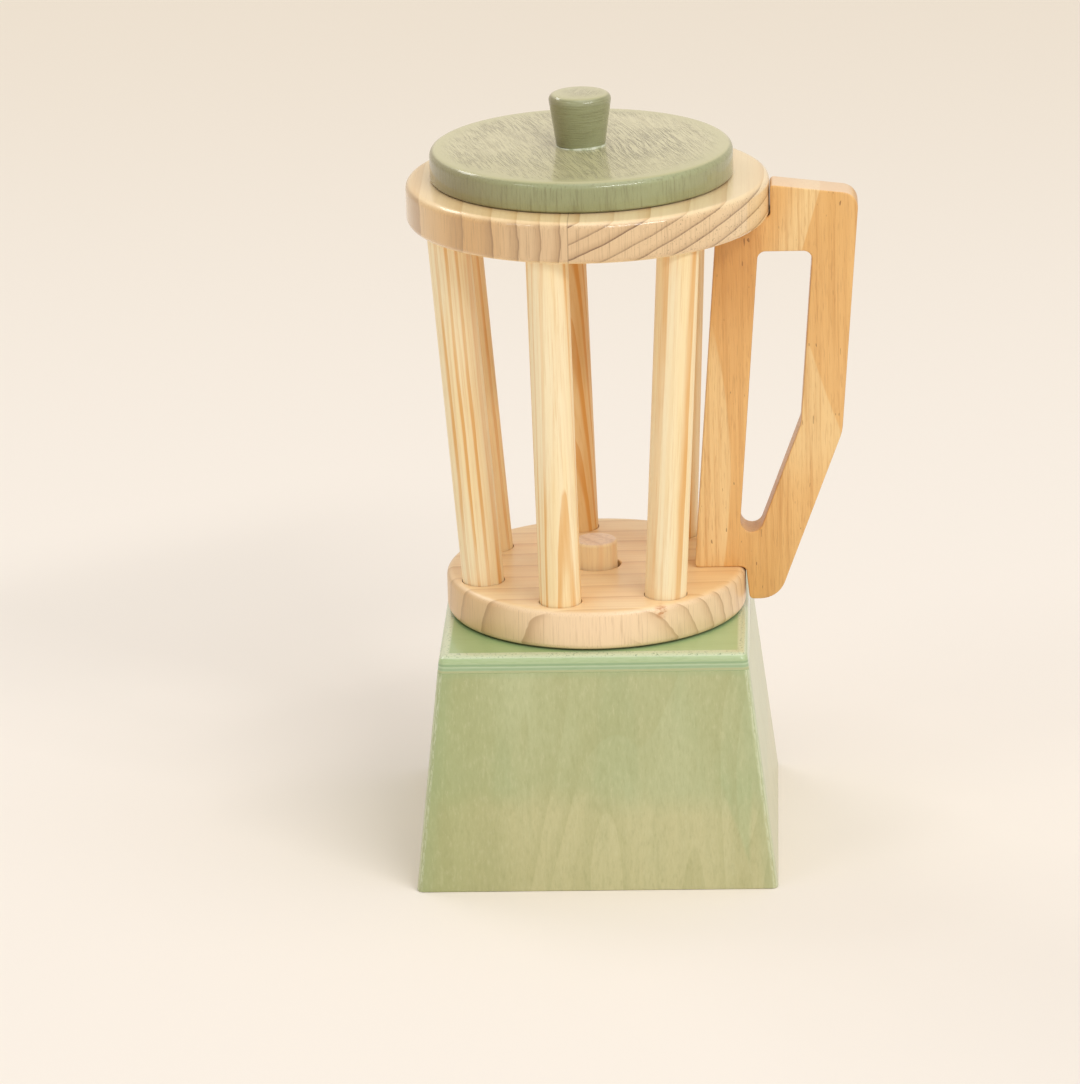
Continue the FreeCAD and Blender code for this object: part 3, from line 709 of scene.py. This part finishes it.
def ring_pine(name):
    """Two pine strips of different boards: upright rings in one, slanting rings in the other."""
    material, graph = new_finish(name)
    point = graph.point()
    across, _, up = point.parts()
    _, frontwards, upwards = graph.facing().parts()
    ending = abs(frontwards).rise(0.25, 0.95)
    level = abs(upwards).rise(0.5, 0.95)
    wander = point.noise((40, 7, 70)) - 0.5
    left_pith = distance(across + LEFT_PITH_OUTSIDE, up - LEFT_PITH_HEIGHT)
    out = (left_pith - WIDEST_YEAR + wander * 0.0035) * 1000
    left_years = out * LEFT_YEARS_PER_MM + out * abs(out) * LEFT_YEARS_GAIN
    slant = (across + 0.0032) * 0.426 - (up - 0.2340) * 0.905
    right_years = (slant + wander * 0.0022) / RIGHT_YEAR_WIDTH
    in_right = across.rise(GLUE_SEAM - 0.0001, GLUE_SEAM + 0.0001)
    band, line = growth_rings(left_years * (1 - in_right) + right_years * in_right + 20)
    line = line * abs(out).rise(1, 5)
    grain = point.noise((900, 14, 900), detail=4.0, roughness=0.7)
    marks = point.noise((2200, 2200, 60), (0, 3, 0), roughness=0.7)
    specks = point.noise((1300, 1300, 1300), (7, 3, 0), detail=2.0)
    cloud = point.noise((26, 26, 26), (2, 0, 0))
    shade = graph.blend(in_right, "#fcdca6", "#fde2b1")
    rim = 1 - level
    # Painted shade: the end grain is darker toward the left, for the light that comes from the right.
    end = graph.blend(across.rise(-0.045, -0.015), "#dcaa6a", "#e7c596")
    end = graph.blend(cloud.rise(0.45, 0.75) * 0.4, end, "#dcb384")
    shade = shade.tinted([
        (cloud.rise(0.4, 0.7) * 0.3, "#f6d8a8"),
        (grain.rise(0.42, 0.75) * level * 0.25, "#dfb27c"),
        (band * level * 0.45, "#d9a45c"),
        (line * level * 0.35, "#c38a48"),
    ])
    shade = graph.blend(rim * (0.35 + ending * 0.65), shade, end)
    dots = specks.rise(0.62, 0.70) * across.rise(0.0, 0.045)
    dots = dots + specks.rise(0.50, 0.58) * line * in_right
    relief = grain * level + marks * rim - line * 0.6
    seam = abs(across - GLUE_SEAM).rise(0.0003, 0.0001)
    shade = shade.tinted([
        (band * rim * (0.80 - in_right * 0.22), "#ae8455"),
        (line * (line + in_right - line * in_right) * rim * 0.90, "#745230"),
        (marks.rise(0.48, 0.74) * rim * 0.48, "#a07c54"),
        (dots * rim * 0.55, "#72502f"),
        (seam * 0.45, "#8d6a48"),
    ])
    varnished(graph, shade, relief, 0.00018, roughness=0.40, gloss=1.0, gloss_roughness=0.09)
    return material


ring_blank = rounded([
    (MOUTH_RADIUS, ring_low.z, MOUTH_EASING),
    (ring_radius, ring_low.z, RING_ROUNDING),
    (ring_radius, ring_high.z, RING_ROUNDING),
    (MOUTH_RADIUS, ring_high.z, MOUTH_EASING),
])
ring = finished("ring", turned(ring_blank, jar_axis), ring_pine("pine, top ring"))
bore(ring, [*socket_drills, pin_drill("handle_pin_high")])
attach(ring, "jar")
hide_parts("top_ring")


# ---------------------------------------------------------------------------------------------
# Cage bars
# Six pine dowels that lean outwards from the floor disc to the ring, glued into both. Each is
# cut from another board, so each has its own tone and its own run of growth rings.

BAR_END_EASING = 0.0006
BAR_SIDES = 56
BAR_STEPS = 96
EASED_SHARE = 0.012

# For each bar: how dark it is, which way its rings face, how fast they run out along it, how far
# apart they are, where they start as a share of a year, how much of a year is late wood, how much
# that stands out, and which board it came from.
BAR_WOODS = {
    "tone": (0.50, 0.80, 0.45, 0.0, 0.04, 0.02),
    "facing": (0.35, 1.57, 0.17, 0.0, 1.95, 0.0),
    "run_out": (0.012, 0.060, 0.008, 0.0, 0.020, -0.008),
    "ring_gap": (0.0048, 0.0024, 0.0042, 0.00365, 0.0030, 0.0094),
    "first_year": (0.10, 0.55, 0.30, 0.04, 0.43, 0.49),
    "late_wood": (0.25, 0.40, 0.25, 0.34, 0.25, 0.21),
    "contrast": (0.80, 0.85, 0.80, 0.82, 0.70, 0.80),
    "board": (1.0, 2.0, 3.0, 4.0, 5.0, 6.0),
}


def bar_pine(name):
    """Pine dowels whose growth rings show as long stripes and pointed arches."""
    material, graph = new_finish(name)

    def told(attribute, output="Fac"):
        return graph.add("ShaderNodeAttribute", {"attribute_name": attribute}, {}, output)

    out, front, along = told("figure", "Vector").parts()
    board = told("board")
    shifted = graph.add("ShaderNodeCombineXYZ", {}, {
        "X": out + board * 0.02, "Y": front, "Z": along + board * 0.4,
    })
    wander = shifted.noise((70, 70, 11)) - 0.5
    years = (out + wander * 0.0020) / told("ring_gap") + told("first_year") + 20
    year = graph.maths("FRACT", years)
    early = 1 - told("late_wood")
    stripe = year.rise(early - 0.10, early + 0.10) * year.rise(0.99, 0.96)
    fine = graph.maths("PINGPONG", years * 4, 1.0).rise(0.6, 1.0)
    grain = shifted.noise((1300, 1300, 26), detail=4.0, roughness=0.75)
    cloud = shifted.noise((110, 110, 9), (3, 0, 0))
    pale = graph.blend(cloud.rise(0.35, 0.7), "#ffeec6", "#fee5b0")
    deep = graph.blend(cloud.rise(0.35, 0.7), "#f8d698", "#eec07a")
    shade = graph.blend(told("tone"), pale, deep)
    strength = cloud.rise(0.36, 0.60) * 0.7 + 0.3
    shade = shade.tinted([
        (grain.rise(0.46, 0.68) * 0.34, "#e3b066"),
        (fine * 0.15, "#e6b670"),
        (stripe * strength * told("contrast"), "#e5a44b"),
    ])
    varnished(graph, shade, grain, 0.00012, roughness=0.5, gloss=0.1)
    return material


def bars_tree(material):
    """A node tree that turns straight edges into round bars with their ends eased.

    It also turns each bar's wood to face its own way, for the finish to follow.
    """
    group = bpy.data.node_groups.new("bars", "GeometryNodeTree")
    group.interface.new_socket("Geometry", in_out="INPUT", socket_type="NodeSocketGeometry")
    radius = group.interface.new_socket("Radius", in_out="INPUT", socket_type="NodeSocketFloat")
    easing = group.interface.new_socket("End easing", in_out="INPUT", socket_type="NodeSocketFloat")
    group.interface.new_socket("Geometry", in_out="OUTPUT", socket_type="NodeSocketGeometry")
    graph = Graph(group)
    edges = graph.add("NodeGroupInput", {}, {})
    outputs = edges.socket.node.outputs
    bar_radius = Level(graph, outputs["Radius"])
    end_easing = Level(graph, outputs["End easing"])

    def told(name, kind="FLOAT"):
        return graph.add("GeometryNodeInputNamedAttribute", {"data_type": kind}, {"Name": name})

    def tell(geometry, name, vector):
        sockets = {"Geometry": geometry, "Name": name, "Value": vector}
        return graph.add("GeometryNodeStoreNamedAttribute", {"data_type": "FLOAT_VECTOR"}, sockets)

    lines = graph.add("GeometryNodeMeshToCurve", {}, {"Mesh": edges})
    lines = graph.add("GeometryNodeResampleCurve", {}, {"Curve": lines, "Count": BAR_STEPS})
    lines = tell(lines, "core", graph.add("GeometryNodeInputPosition", {}, {}))
    along = graph.add("GeometryNodeSplineParameter", {}, {}, "Factor")
    from_end = graph.maths("MINIMUM", along, 1 - along)
    eased = 1 - from_end.rise(EASED_SHARE, 0.0) * end_easing / bar_radius
    rounding = {"Resolution": BAR_SIDES, "Radius": bar_radius}
    profile = graph.add("GeometryNodeCurvePrimitiveCircle", {}, rounding)
    swept = {"Curve": lines, "Profile Curve": profile, "Scale": eased, "Fill Caps": True}
    bars = graph.add("GeometryNodeCurveToMesh", {}, swept)
    place = graph.add("GeometryNodeInputPosition", {}, {})
    core = told("core", "FLOAT_VECTOR")
    offset = graph.add("ShaderNodeVectorMath", {"operation": "SUBTRACT"}, {0: place, 1: core})
    out, back, _ = offset.parts()
    height = place.parts()[2]
    sine = graph.maths("SINE", told("facing"))
    cosine = graph.maths("COSINE", told("facing"))
    figure = graph.add("ShaderNodeCombineXYZ", {}, {
        "X": out * cosine + back * sine + height * told("run_out"),
        "Y": back * cosine - out * sine,
        "Z": height,
    })
    bars = tell(bars, "figure", figure)
    bars = graph.add("GeometryNodeRealizeInstances", {}, {"Geometry": bars})
    bars = graph.add("GeometryNodeSetMaterial", {}, {"Geometry": bars, "Material": material})
    graph.add("NodeGroupOutput", {}, {"Geometry": bars})
    return group, {radius.identifier: BAR_RADIUS, easing.identifier: BAR_END_EASING}


def grown(name, base, group, inputs):
    """A plain mesh object from what a node tree makes of a base mesh."""
    made = added(name, base)
    modifier = made.modifiers.new("grow", "NODES")
    modifier.node_group = group
    for identifier, amount in inputs.items():
        modifier[identifier] = amount
    result = evaluated(made)
    made.modifiers.clear()
    made.data = result
    result.shade_smooth()
    result.set_sharp_from_angle(angle=CRISP_EDGE)
    return made


bar_lines = bpy.data.meshes.new("bar lines")
ends = [end for axis in bar_axes for end in axis]
bar_lines.from_pydata(ends, [(start, start + 1) for start in range(0, len(ends), 2)], [])
for name, amounts in BAR_WOODS.items():
    both_ends = [amount for amount in amounts for _ in range(2)]
    bar_lines.attributes.new(name, "FLOAT", "POINT").data.foreach_set("value", both_ends)
bars_group, bars_inputs = bars_tree(bar_pine("pine dowels, cage"))
bars = grown("cage_bars", bar_lines, bars_group, bars_inputs)
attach(bars, "jar")
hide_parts(*[f"cage_bar_{number}" for number in range(1, BAR_PLACES)])


# ---------------------------------------------------------------------------------------------
# Handle
# One beech board, sawn to shape with its grain upright, cut over the rims of both discs and
# pinned to them. The long finger opening ends in a drilled hole, and all arrises are eased.

ARRIS = 0.0006
RIM_GAP = 0.0005
GLUE_LINE = 0.0001
COLUMN_INSET = 0.0185
COLUMN_WIDTH = 0.0155
LIMB_WIDTH = 0.01515
LIP_SPLAY = 0.0012
HEEL_REACH = 0.0113
ELBOW_REACH = 0.0251
ELBOW_HEIGHT = 0.0509
TOP_INSET = 0.0027
TOP_FALL = 0.0038
OPENING_DROP = 0.0124
COLUMN_ROUNDING = 0.0015
NOTCH_ROUNDING = 0.0021
LIP_ROUNDING = 0.0017
HEEL_RADIUS = 0.0095
ELBOW_RADIUS = 0.0140
SHOULDER_RADIUS = 0.0060
TOE_RADIUS = 0.0041
INNER_ELBOW_RADIUS = 0.0070
OPENING_ROUNDING = 0.0030
LIMB_FLAME_ACROSS = 0.0786
LIMB_FLAME_TOP = 0.1854
COLUMN_FLAME_ACROSS = 0.0496
COLUMN_FLAME_HEIGHT = 0.1400
SHOULDER_FLAME_ACROSS = 0.0764
SHOULDER_FLAME_HEIGHT = 0.2300

handle_low, handle_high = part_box("handle")
bar_shift = (ring_radius - BAR_INSET_IN_RING) - (floor_radius - BAR_INSET_IN_FLOOR)
lean = bar_shift / (ring_low.z - floor_high.z)
column = floor_radius - COLUMN_INSET
lip = floor_radius + GLUE_LINE
heel = floor_radius + RIM_GAP + HEEL_REACH
elbow = ring_radius + ELBOW_REACH
elbow_up = floor_high.z + ELBOW_HEIGHT
leg_lean = (elbow - heel) / (elbow_up - handle_low.z)
handle_top = ring_high.z - TOP_INSET
shoulder_up = handle_top - TOP_FALL
notch = ring_radius + GLUE_LINE
opening_top = ring_low.z - OPENING_DROP


def column_side(height):
    """The column's inner side at a height."""
    return column + lean * (height - floor_high.z)


def leg_inside(height):
    """The inner side of the leg, below the elbow, at a height."""
    return heel - LIMB_WIDTH * math.sqrt(1 + leg_lean ** 2) + leg_lean * (height - handle_low.z)


def limb_inside(height):
    """The inner side of the limb, above the elbow, at a height."""
    return elbow - LIMB_WIDTH * math.sqrt(1 + lean ** 2) + lean * (height - elbow_up)


inner_elbow = (limb_inside(0) - leg_inside(0)) / (leg_lean - lean)
toe = (column_side(0) + COLUMN_WIDTH - leg_inside(0)) / (leg_lean - lean)

board_outline = rounded([
    (column, floor_high.z, COLUMN_ROUNDING),
    (lip, floor_high.z, NOTCH_ROUNDING),
    (lip + LIP_SPLAY, handle_low.z, LIP_ROUNDING),
    (heel, handle_low.z, HEEL_RADIUS),
    (elbow, elbow_up, ELBOW_RADIUS),
    (elbow + lean * (shoulder_up - elbow_up), shoulder_up, SHOULDER_RADIUS),
    (notch, handle_top, COLUMN_ROUNDING),
    (notch, ring_low.z, NOTCH_ROUNDING),
    (column_side(ring_low.z), ring_low.z, COLUMN_ROUNDING),
])
opening_outline = rounded([
    (column_side(toe) + COLUMN_WIDTH, toe, TOE_RADIUS),
    (limb_inside(inner_elbow), inner_elbow, INNER_ELBOW_RADIUS),
    (limb_inside(opening_top), opening_top, OPENING_ROUNDING),
    (column_side(opening_top) + COLUMN_WIDTH, opening_top, OPENING_ROUNDING),
])


def beech(name):
    """Beech: honey coloured, with upright grain, short dark flecks and three paler flames."""
    material, graph = new_finish(name)
    point = graph.point()
    across, back, up = point.parts()
    sideways, _, upwards = graph.facing().parts()
    wander = point.noise((26, 60, 9)) - 0.5
    years = (across * 0.9 + back * 0.4 - up * 0.05 + wander * 0.014) / 0.0090
    band, _ = growth_rings(years + 20)
    grain = point.noise((900, 900, 12), detail=5.0, roughness=0.75)
    pores = point.noise((2600, 2600, 170), (0, 0, 3), detail=1.0)
    flecks = point.noise((1300, 1300, 230), (5, 2, 3), detail=0.0)
    cloud = point.noise((30, 30, 8), (4, 0, 1))
    shade = graph.blend(cloud.rise(0.32, 0.7), "#f3c27c", "#e9b46a")
    below = LIMB_FLAME_TOP - up
    limb_edge = LIMB_FLAME_ACROSS + below * 0.30 + below * below * 1.2 + wander * 0.002
    limb_flame = (across - limb_edge).rise(0.0004, -0.0004) * below.rise(-0.001, 0.003)
    limb_flame = limb_flame * across.rise(0.060, 0.066) * up.rise(0.125, 0.150)
    from_crest = up - COLUMN_FLAME_HEIGHT
    column_edge = COLUMN_FLAME_ACROSS - from_crest * from_crest * 2.0 + wander * 0.002
    column_flame = (across - column_edge).rise(0.0004, -0.0004) * up.rise(0.200, 0.180)
    shoulder_edge = across - SHOULDER_FLAME_ACROSS - (up - SHOULDER_FLAME_HEIGHT) * 0.30
    shoulder_flame = shoulder_edge.rise(-0.0110, -0.0010) * shoulder_edge.rise(0.0032, 0.0026)
    pale = limb_flame * 0.82 + column_flame + shoulder_flame * up.rise(0.214, 0.222)
    shaded = up.rise(0.170, 0.215) * across.rise(0.064, 0.058)
    # The top end is painted pale, a painted highlight where the light falls on it. The other sawn edges
    # are darker: partly their end grain, partly painted shade in the notches and the opening.
    top = upwards.rise(0.6, 0.95) * up.rise(0.228, 0.236)
    end_grain_and_shaded_walls = graph.maths("MAXIMUM", abs(upwards), abs(sideways)).rise(0.6, 0.95) - top
    shade = shade.tinted([
        (band * 0.30, "#dca45e"),
        (pale * 0.75, "#fcdb9e"),
        (shaded * 0.55, "#d2944a"),
        (grain.rise(0.44, 0.72) * 0.62, "#cb8f49"),
        (pores.rise(0.56, 0.72) * 0.26, "#b67c42"),
        (flecks.rise(0.815, 0.835) * 0.7, "#84501f"),
        (end_grain_and_shaded_walls * 0.45, "#bb8a62"),
        (top * 0.6, "#fae0c4"),
    ])
    varnished(graph, shade, grain - pores, 0.00015, roughness=0.45, gloss=0.3)
    return material


def sawn(name, outlines, low, high, easing, material):
    """A board between two depths, from its outline and those of its openings, arrises eased."""
    curve = bpy.data.curves.new(name, "CURVE")
    curve.dimensions = "2D"
    curve.fill_mode = "BOTH"
    curve.extrude = (high - low) / 2 - easing
    curve.bevel_depth = easing
    curve.bevel_resolution = 3
    curve.offset = -easing
    for outline in outlines:
        line = curve.splines.new("POLY")
        line.use_cyclic_u = True
        line.points.add(len(outline) - 1)
        for spot, point in zip(line.points, outline):
            spot.co = (point.x, point.y, 0, 1)
    shape = added(name, curve)
    mesh = bmesh.new()
    mesh.from_mesh(evaluated(shape))
    bpy.data.objects.remove(shape)
    upright = Matrix.Translation((0, (low + high) / 2, 0)) @ Matrix.Rotation(math.pi / 2, 4, "X")
    mesh.transform(upright)
    bmesh.ops.remove_doubles(mesh, verts=mesh.verts, dist=MERGE_DISTANCE)
    bmesh.ops.recalc_face_normals(mesh, faces=mesh.faces)
    return finished(name, mesh, material)


handle_beech = beech("beech, handle")
handle = sawn(
    "handle_board", [board_outline, opening_outline], handle_low.y, handle_high.y, ARRIS, handle_beech,
)
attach(handle, "jar")
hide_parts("handle")

pin_beech = beech("beech, pins")
for pin in ("handle_pin_low", "handle_pin_high"):
    dress(pin, pin_beech)


# ---------------------------------------------------------------------------------------------
# Lid
# A turned disc, stained green like the plinth, its upper rim well rounded. The plug glued under
# it keeps it in the ring's mouth, and the tapered knob is screwed on from below through both.

LID_ROUNDING = 0.0026
LID_UNDER_EASING = 0.0012
PLUG_EASING = 0.0010
PLUG_MOUTH_EASING = 0.0003
KNOB_FOOT_RADIUS = 0.00875
KNOB_FOOT_EASING = 0.0004
KNOB_ROUNDING = 0.0023
KNOB_SIDES = 128
SCREW_RADIUS = 0.0020
SCREW_GAP = 0.00005
SCREW_HEAD_HEIGHT = 0.0024
GLUE_LEAST = 0.0002
GLUE_MOST = 0.0008
GLUE_DROOP = math.radians(-60)
GLUE_PLACES = 96
GLUE_SIDES = 8

lid_low, lid_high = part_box("lid_disc")
plug_low, plug_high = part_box("lid_plug")
knob_low, knob_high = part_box("lid_knob")
screw_low, screw_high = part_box("knob_screw")
lid_axis = (lid_low + lid_high) / 2
lid_radius = (lid_high.x - lid_low.x) / 2
plug_radius = (plug_high.x - plug_low.x) / 2
knob_radius = (knob_high.x - knob_low.x) / 2
screw_hole = SCREW_RADIUS + SCREW_GAP
screw_head = (screw_high.x - screw_low.x) / 2 + SCREW_GAP
seat = plug_low.z + SCREW_HEAD_HEIGHT + SCREW_GAP


def green_turned(name, axis, reach, foot, tones, side_grain, grain_turn):
    """Green stained wood turned on a lathe: pore strokes on top, a darker stain at the side, and
    painted shade.

    The tones are the side's light and dark, the top's light and dark, and the pores'.
    """
    material, graph = new_finish(name)
    side_light, side_dark, top_light, top_dark, pore_dark = tones
    upwards = abs(graph.facing().parts()[2])
    placed = graph.add("ShaderNodeMapping", {}, {
        "Vector": graph.point(), "Location": (-axis.x, -axis.y, 0),
    })
    laid = graph.add("ShaderNodeMapping", {}, {"Vector": placed, "Rotation": (0, 0, grain_turn)})
    across, back, up = laid.parts()
    out = distance(across, back)
    bend = laid.noise((25, 25, 60), detail=1.0) - 0.5
    bent = graph.add("ShaderNodeCombineXYZ", {}, {"X": across + bend * 0.004, "Y": back, "Z": up})
    strokes = bent.noise((3000, 105, 300), detail=2.0, roughness=0.6)
    grain = bent.noise((420, 24, 60), (1, 0, 0), detail=4.0)
    cloud = laid.noise((40, 40, 60))
    side = laid.noise(side_grain, (0, 3, 0), detail=4.0, roughness=0.7)
    rough = out.rise(reach - 0.003, reach - 0.009) * (0.25 + cloud.rise(0.4, 0.6) * 0.4)
    seen_across, seen_back, _ = placed.parts()
    from_patch = distance(seen_across - reach * 0.4, seen_back)
    rough = rough + from_patch.rise(reach * 0.5, 0.0) * 0.4
    top = graph.blend(cloud.rise(0.35, 0.65), top_light, top_dark).tinted([
        (grain.rise(0.45, 0.75) * 0.3, "#a89e70"),
        (strokes.rise(0.54, 0.63) * rough * 0.78, pore_dark),
        (strokes.rise(0.44, 0.34) * rough * 0.06, "#efe8c4"),
        # painted shade: the top darker toward the front, standing in for the sheen that lightens the
        # back
        (seen_back.rise(reach * 0.1, -reach * 0.9) * 0.6, "#b8b280"),
        (out.rise(reach - 0.011, reach - 0.004) * 0.5, "#bdba8a"),
    ])
    # Painted shade: the wall darker towards its left and right as seen, where it turns away from the
    # light.
    ends = seen_across.rise(-reach * 0.1, -reach * 0.9) * 0.80
    ends = ends + seen_across.rise(reach * 0.5, reach) * 0.3
    wall = graph.blend(cloud.rise(0.3, 0.7), side_light, side_dark).tinted([
        (ends, "#847a4c"),
        (side.rise(0.48, 0.70) * 0.48, "#6f6a42"),
    ])
    shade = graph.blend(upwards.rise(0.72, 0.97), wall, top)
    # Painted shade: a dark line round the foot of the wall, where it sits on what is below, with stain
    # gathered there too.
    joint_stain_and_foot_shade = up.rise(foot + 0.0009, foot + 0.0002) * out.rise(reach * 0.5, reach * 0.7)
    shade = graph.blend(joint_stain_and_foot_shade * 0.8, shade, "#3d3922")
    relief = strokes.rise(0.48, 0.66) * rough * -2.2 + side * (1 - upwards) * 1.5
    varnished(graph, shade, relief, 0.00042, roughness=0.36, gloss=0.8, gloss_roughness=0.10)
    return material


lid_profile = rounded([
    (screw_hole, lid_low.z, 0),
    (lid_radius, lid_low.z, LID_UNDER_EASING),
    (lid_radius, lid_high.z, LID_ROUNDING),
    (screw_hole, lid_high.z, 0),
])
lid_stain = green_turned(
    "green stain, lid", lid_axis, lid_radius, lid_low.z,
    ("#a5ab7e", "#9a9f72", "#d9d1a5", "#d3cc9f", "#5f5832"), (1100, 1100, 70), math.radians(-18.5),
)
lid = finished("lid", turned(lid_profile, lid_axis), lid_stain)
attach(lid, "lid")
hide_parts("lid_disc")

plug_profile = rounded([
    (screw_hole, plug_high.z, 0),
    (screw_hole, seat, 0),
    (screw_head, seat, 0),
    (screw_head, plug_low.z, PLUG_MOUTH_EASING),
    (plug_radius, plug_low.z, PLUG_EASING),
    (plug_radius, plug_high.z, 0),
])
plug = finished("plug", turned(plug_profile, lid_axis), dowel_wood("pine, lid plug", lid_axis))
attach(plug, "lid")
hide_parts("lid_plug")

knob_profile = rounded([
    (0, screw_high.z + SCREW_GAP, 0),
    (screw_hole, screw_high.z + SCREW_GAP, 0),
    (screw_hole, knob_low.z, 0),
    (KNOB_FOOT_RADIUS, knob_low.z, KNOB_FOOT_EASING),
    (knob_radius, knob_high.z, KNOB_ROUNDING),
    (0, knob_high.z, 0),
])
knob_stain = green_turned(
    "green stain, knob", lid_axis, knob_radius, knob_low.z,
    ("#a6aa80", "#94966d", "#d1cba8", "#c8c29b", "#a39b78"), (90, 90, 1500), math.radians(20),
)
knob = finished("knob", turned(knob_profile, lid_axis, KNOB_SIDES), knob_stain)
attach(knob, "lid")
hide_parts("lid_knob")


def dried_glue(name):
    """Dried glue: whitish and cloudy, with some of the green stain taken up."""
    material, graph = new_finish(name)
    cloud = graph.point().noise((500, 500, 500), detail=2.0)
    shade = graph.blend(cloud.rise(0.35, 0.65), "#dfe2cc", "#b3b992")
    varnished(graph, shade, cloud, 0.0001, roughness=0.3)
    return material


glue_profiles = []
for place in range(GLUE_PLACES):
    turn = math.tau * place / GLUE_PLACES
    swell = GLUE_LEAST + (GLUE_MOST - GLUE_LEAST) * max(0, math.cos(turn - GLUE_DROOP)) ** 2
    profile = []
    for side in range(GLUE_SIDES):
        roll = math.tau * side / GLUE_SIDES
        profile.append((
            KNOB_FOOT_RADIUS + swell * math.cos(roll), lid_high.z + swell * (0.2 + math.sin(roll)),
        ))
    glue_profiles.append(profile)
glue = finished("glue_bead", hooped(lid_axis, glue_profiles), dried_glue("dried glue"))
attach(glue, "lid")


def bright_steel(name):
    """Zinc plated steel with fine marks from the die and the driver."""
    material, graph = new_finish(name)
    marks = graph.point().noise((900, 900, 3500), detail=2.0)
    shade = graph.blend(marks.rise(0.35, 0.7), "#b9bcc0", "#8e9196")
    sockets = {"Base Color": shade, "Roughness": marks * 0.3 + 0.2, "Metallic": 1.0}
    surface = graph.add("ShaderNodeBsdfPrincipled", {}, sockets)
    graph.add("ShaderNodeOutputMaterial", {}, {"Surface": surface})
    return material


dress("knob_screw", bright_steel("zinc plated steel"))


# ---------------------------------------------------------------------------------------------
# Studio
# A pale floor that runs on as the background, soft light from above, both sides and behind, and
# a camera far away with a long lens, which looks down on the lid a little.

FLOOR_RADIUS = 8.0
FLOOR_SIDES = 64
FLOOR_NEAR = "#faf0e4"
FLOOR_FAR = "#f1e4d2"
SKY_STRENGTH = 0.52
LAMPS_AIM = Vector((0, 0, 0.14))
SOFTBOX_AWAY = 6.0
CEILING_AWAY = 3.0
CAMERA_PLACE = Vector((0.0739, -2.0796, 0.8004))
CAMERA_PITCH = math.radians(18.33)
CAMERA_YAW = math.radians(2.59)
CAMERA_ROLL = math.radians(-1.56)
CAMERA_LENS = 200.28
CAMERA_SENSOR = 36.0

ground = bmesh.new()
bmesh.ops.create_circle(ground, cap_ends=True, segments=FLOOR_SIDES, radius=FLOOR_RADIUS)
floor_paint, floor_graph = new_finish("floor")
# Painted shade: the floor goes darker towards the back, standing in for the light falling off with
# distance.
floor_distance = floor_graph.point().parts()[1].rise(0.2, 1.5)
floor_shade = floor_graph.blend(floor_distance, FLOOR_NEAR, FLOOR_FAR)
floor_surface = floor_graph.add("ShaderNodeBsdfPrincipled", {}, {
    "Base Color": floor_shade, "Roughness": 0.9, "Specular IOR Level": 0.1,
})
floor_graph.add("ShaderNodeOutputMaterial", {}, {"Surface": floor_surface})
floor = finished("floor", ground, floor_paint)

world = bpy.data.worlds.new("studio")
bpy.context.scene.world = world
world.use_nodes = True
sky = Graph(world.node_tree)
rays = sky.add("ShaderNodeLightPath", {}, {}, "Is Camera Ray")
ray_kinds = rays.socket.node.outputs
mirrored = Level(sky, ray_kinds["Is Glossy Ray"])
through = Level(sky, ray_kinds["Is Transmission Ray"])
direct = sky.maths("MAXIMUM", rays, sky.maths("MAXIMUM", mirrored, through))
air = sky.add("ShaderNodeBackground", {}, {"Color": (1, 1, 1, 1), "Strength": SKY_STRENGTH})
backdrop = sky.add("ShaderNodeBackground", {}, {"Color": colour(FLOOR_FAR), "Strength": 1.0})
seen = sky.add("ShaderNodeMixShader", {}, {0: direct, 1: air, 2: backdrop})
sky.add("ShaderNodeOutputWorld", {}, {"Surface": seen})


def hang(name, kind, turn, height, away):
    """Hang a lamp that looks at the object, a turn to the right of the front and a height up."""
    lamp = bpy.data.lights.new(name, kind)
    turn = math.radians(turn)
    height = math.radians(height)
    way = Vector((
        math.sin(turn) * math.cos(height), -math.cos(turn) * math.cos(height), math.sin(height),
    ))
    look = way.to_track_quat("Z", "Y").to_matrix().to_4x4()
    added(name, lamp).matrix_world = Matrix.Translation(LAMPS_AIM + way * away) @ look
    return lamp


def softbox(name, turn, height, wide, high, power):
    """A flat softbox."""
    lamp = hang(name, "AREA", turn, height, SOFTBOX_AWAY)
    lamp.shape = "RECTANGLE"
    lamp.size = wide
    lamp.size_y = high
    lamp.energy = power


ceiling = hang("ceiling bounce", "SUN", turn=60, height=74, away=CEILING_AWAY)
ceiling.energy = 0.7
ceiling.angle = math.radians(50)
softbox("right softbox", turn=35, height=38, wide=3.7, high=0.5, power=110)
softbox("left softbox", turn=-50, height=45, wide=1.7, high=0.5, power=16)
softbox("back softbox", turn=-135, height=42, wide=2.8, high=0.9, power=37)

camera_data = bpy.data.cameras.new("camera")
camera_data.sensor_fit = "VERTICAL"
camera_data.sensor_width = CAMERA_SENSOR
camera_data.sensor_height = CAMERA_SENSOR
camera_data.lens = CAMERA_LENS
camera_data.clip_end = 50
camera = added("camera", camera_data)
camera.matrix_world = (
    Matrix.Translation(CAMERA_PLACE)
    @ Matrix.Rotation(CAMERA_YAW, 4, "Z")
    @ Matrix.Rotation(math.pi / 2 - CAMERA_PITCH, 4, "X")
    @ Matrix.Rotation(CAMERA_ROLL, 4, "Z")
)
bpy.context.scene.camera = camera
bpy.context.scene.view_settings.view_transform = "Standard"
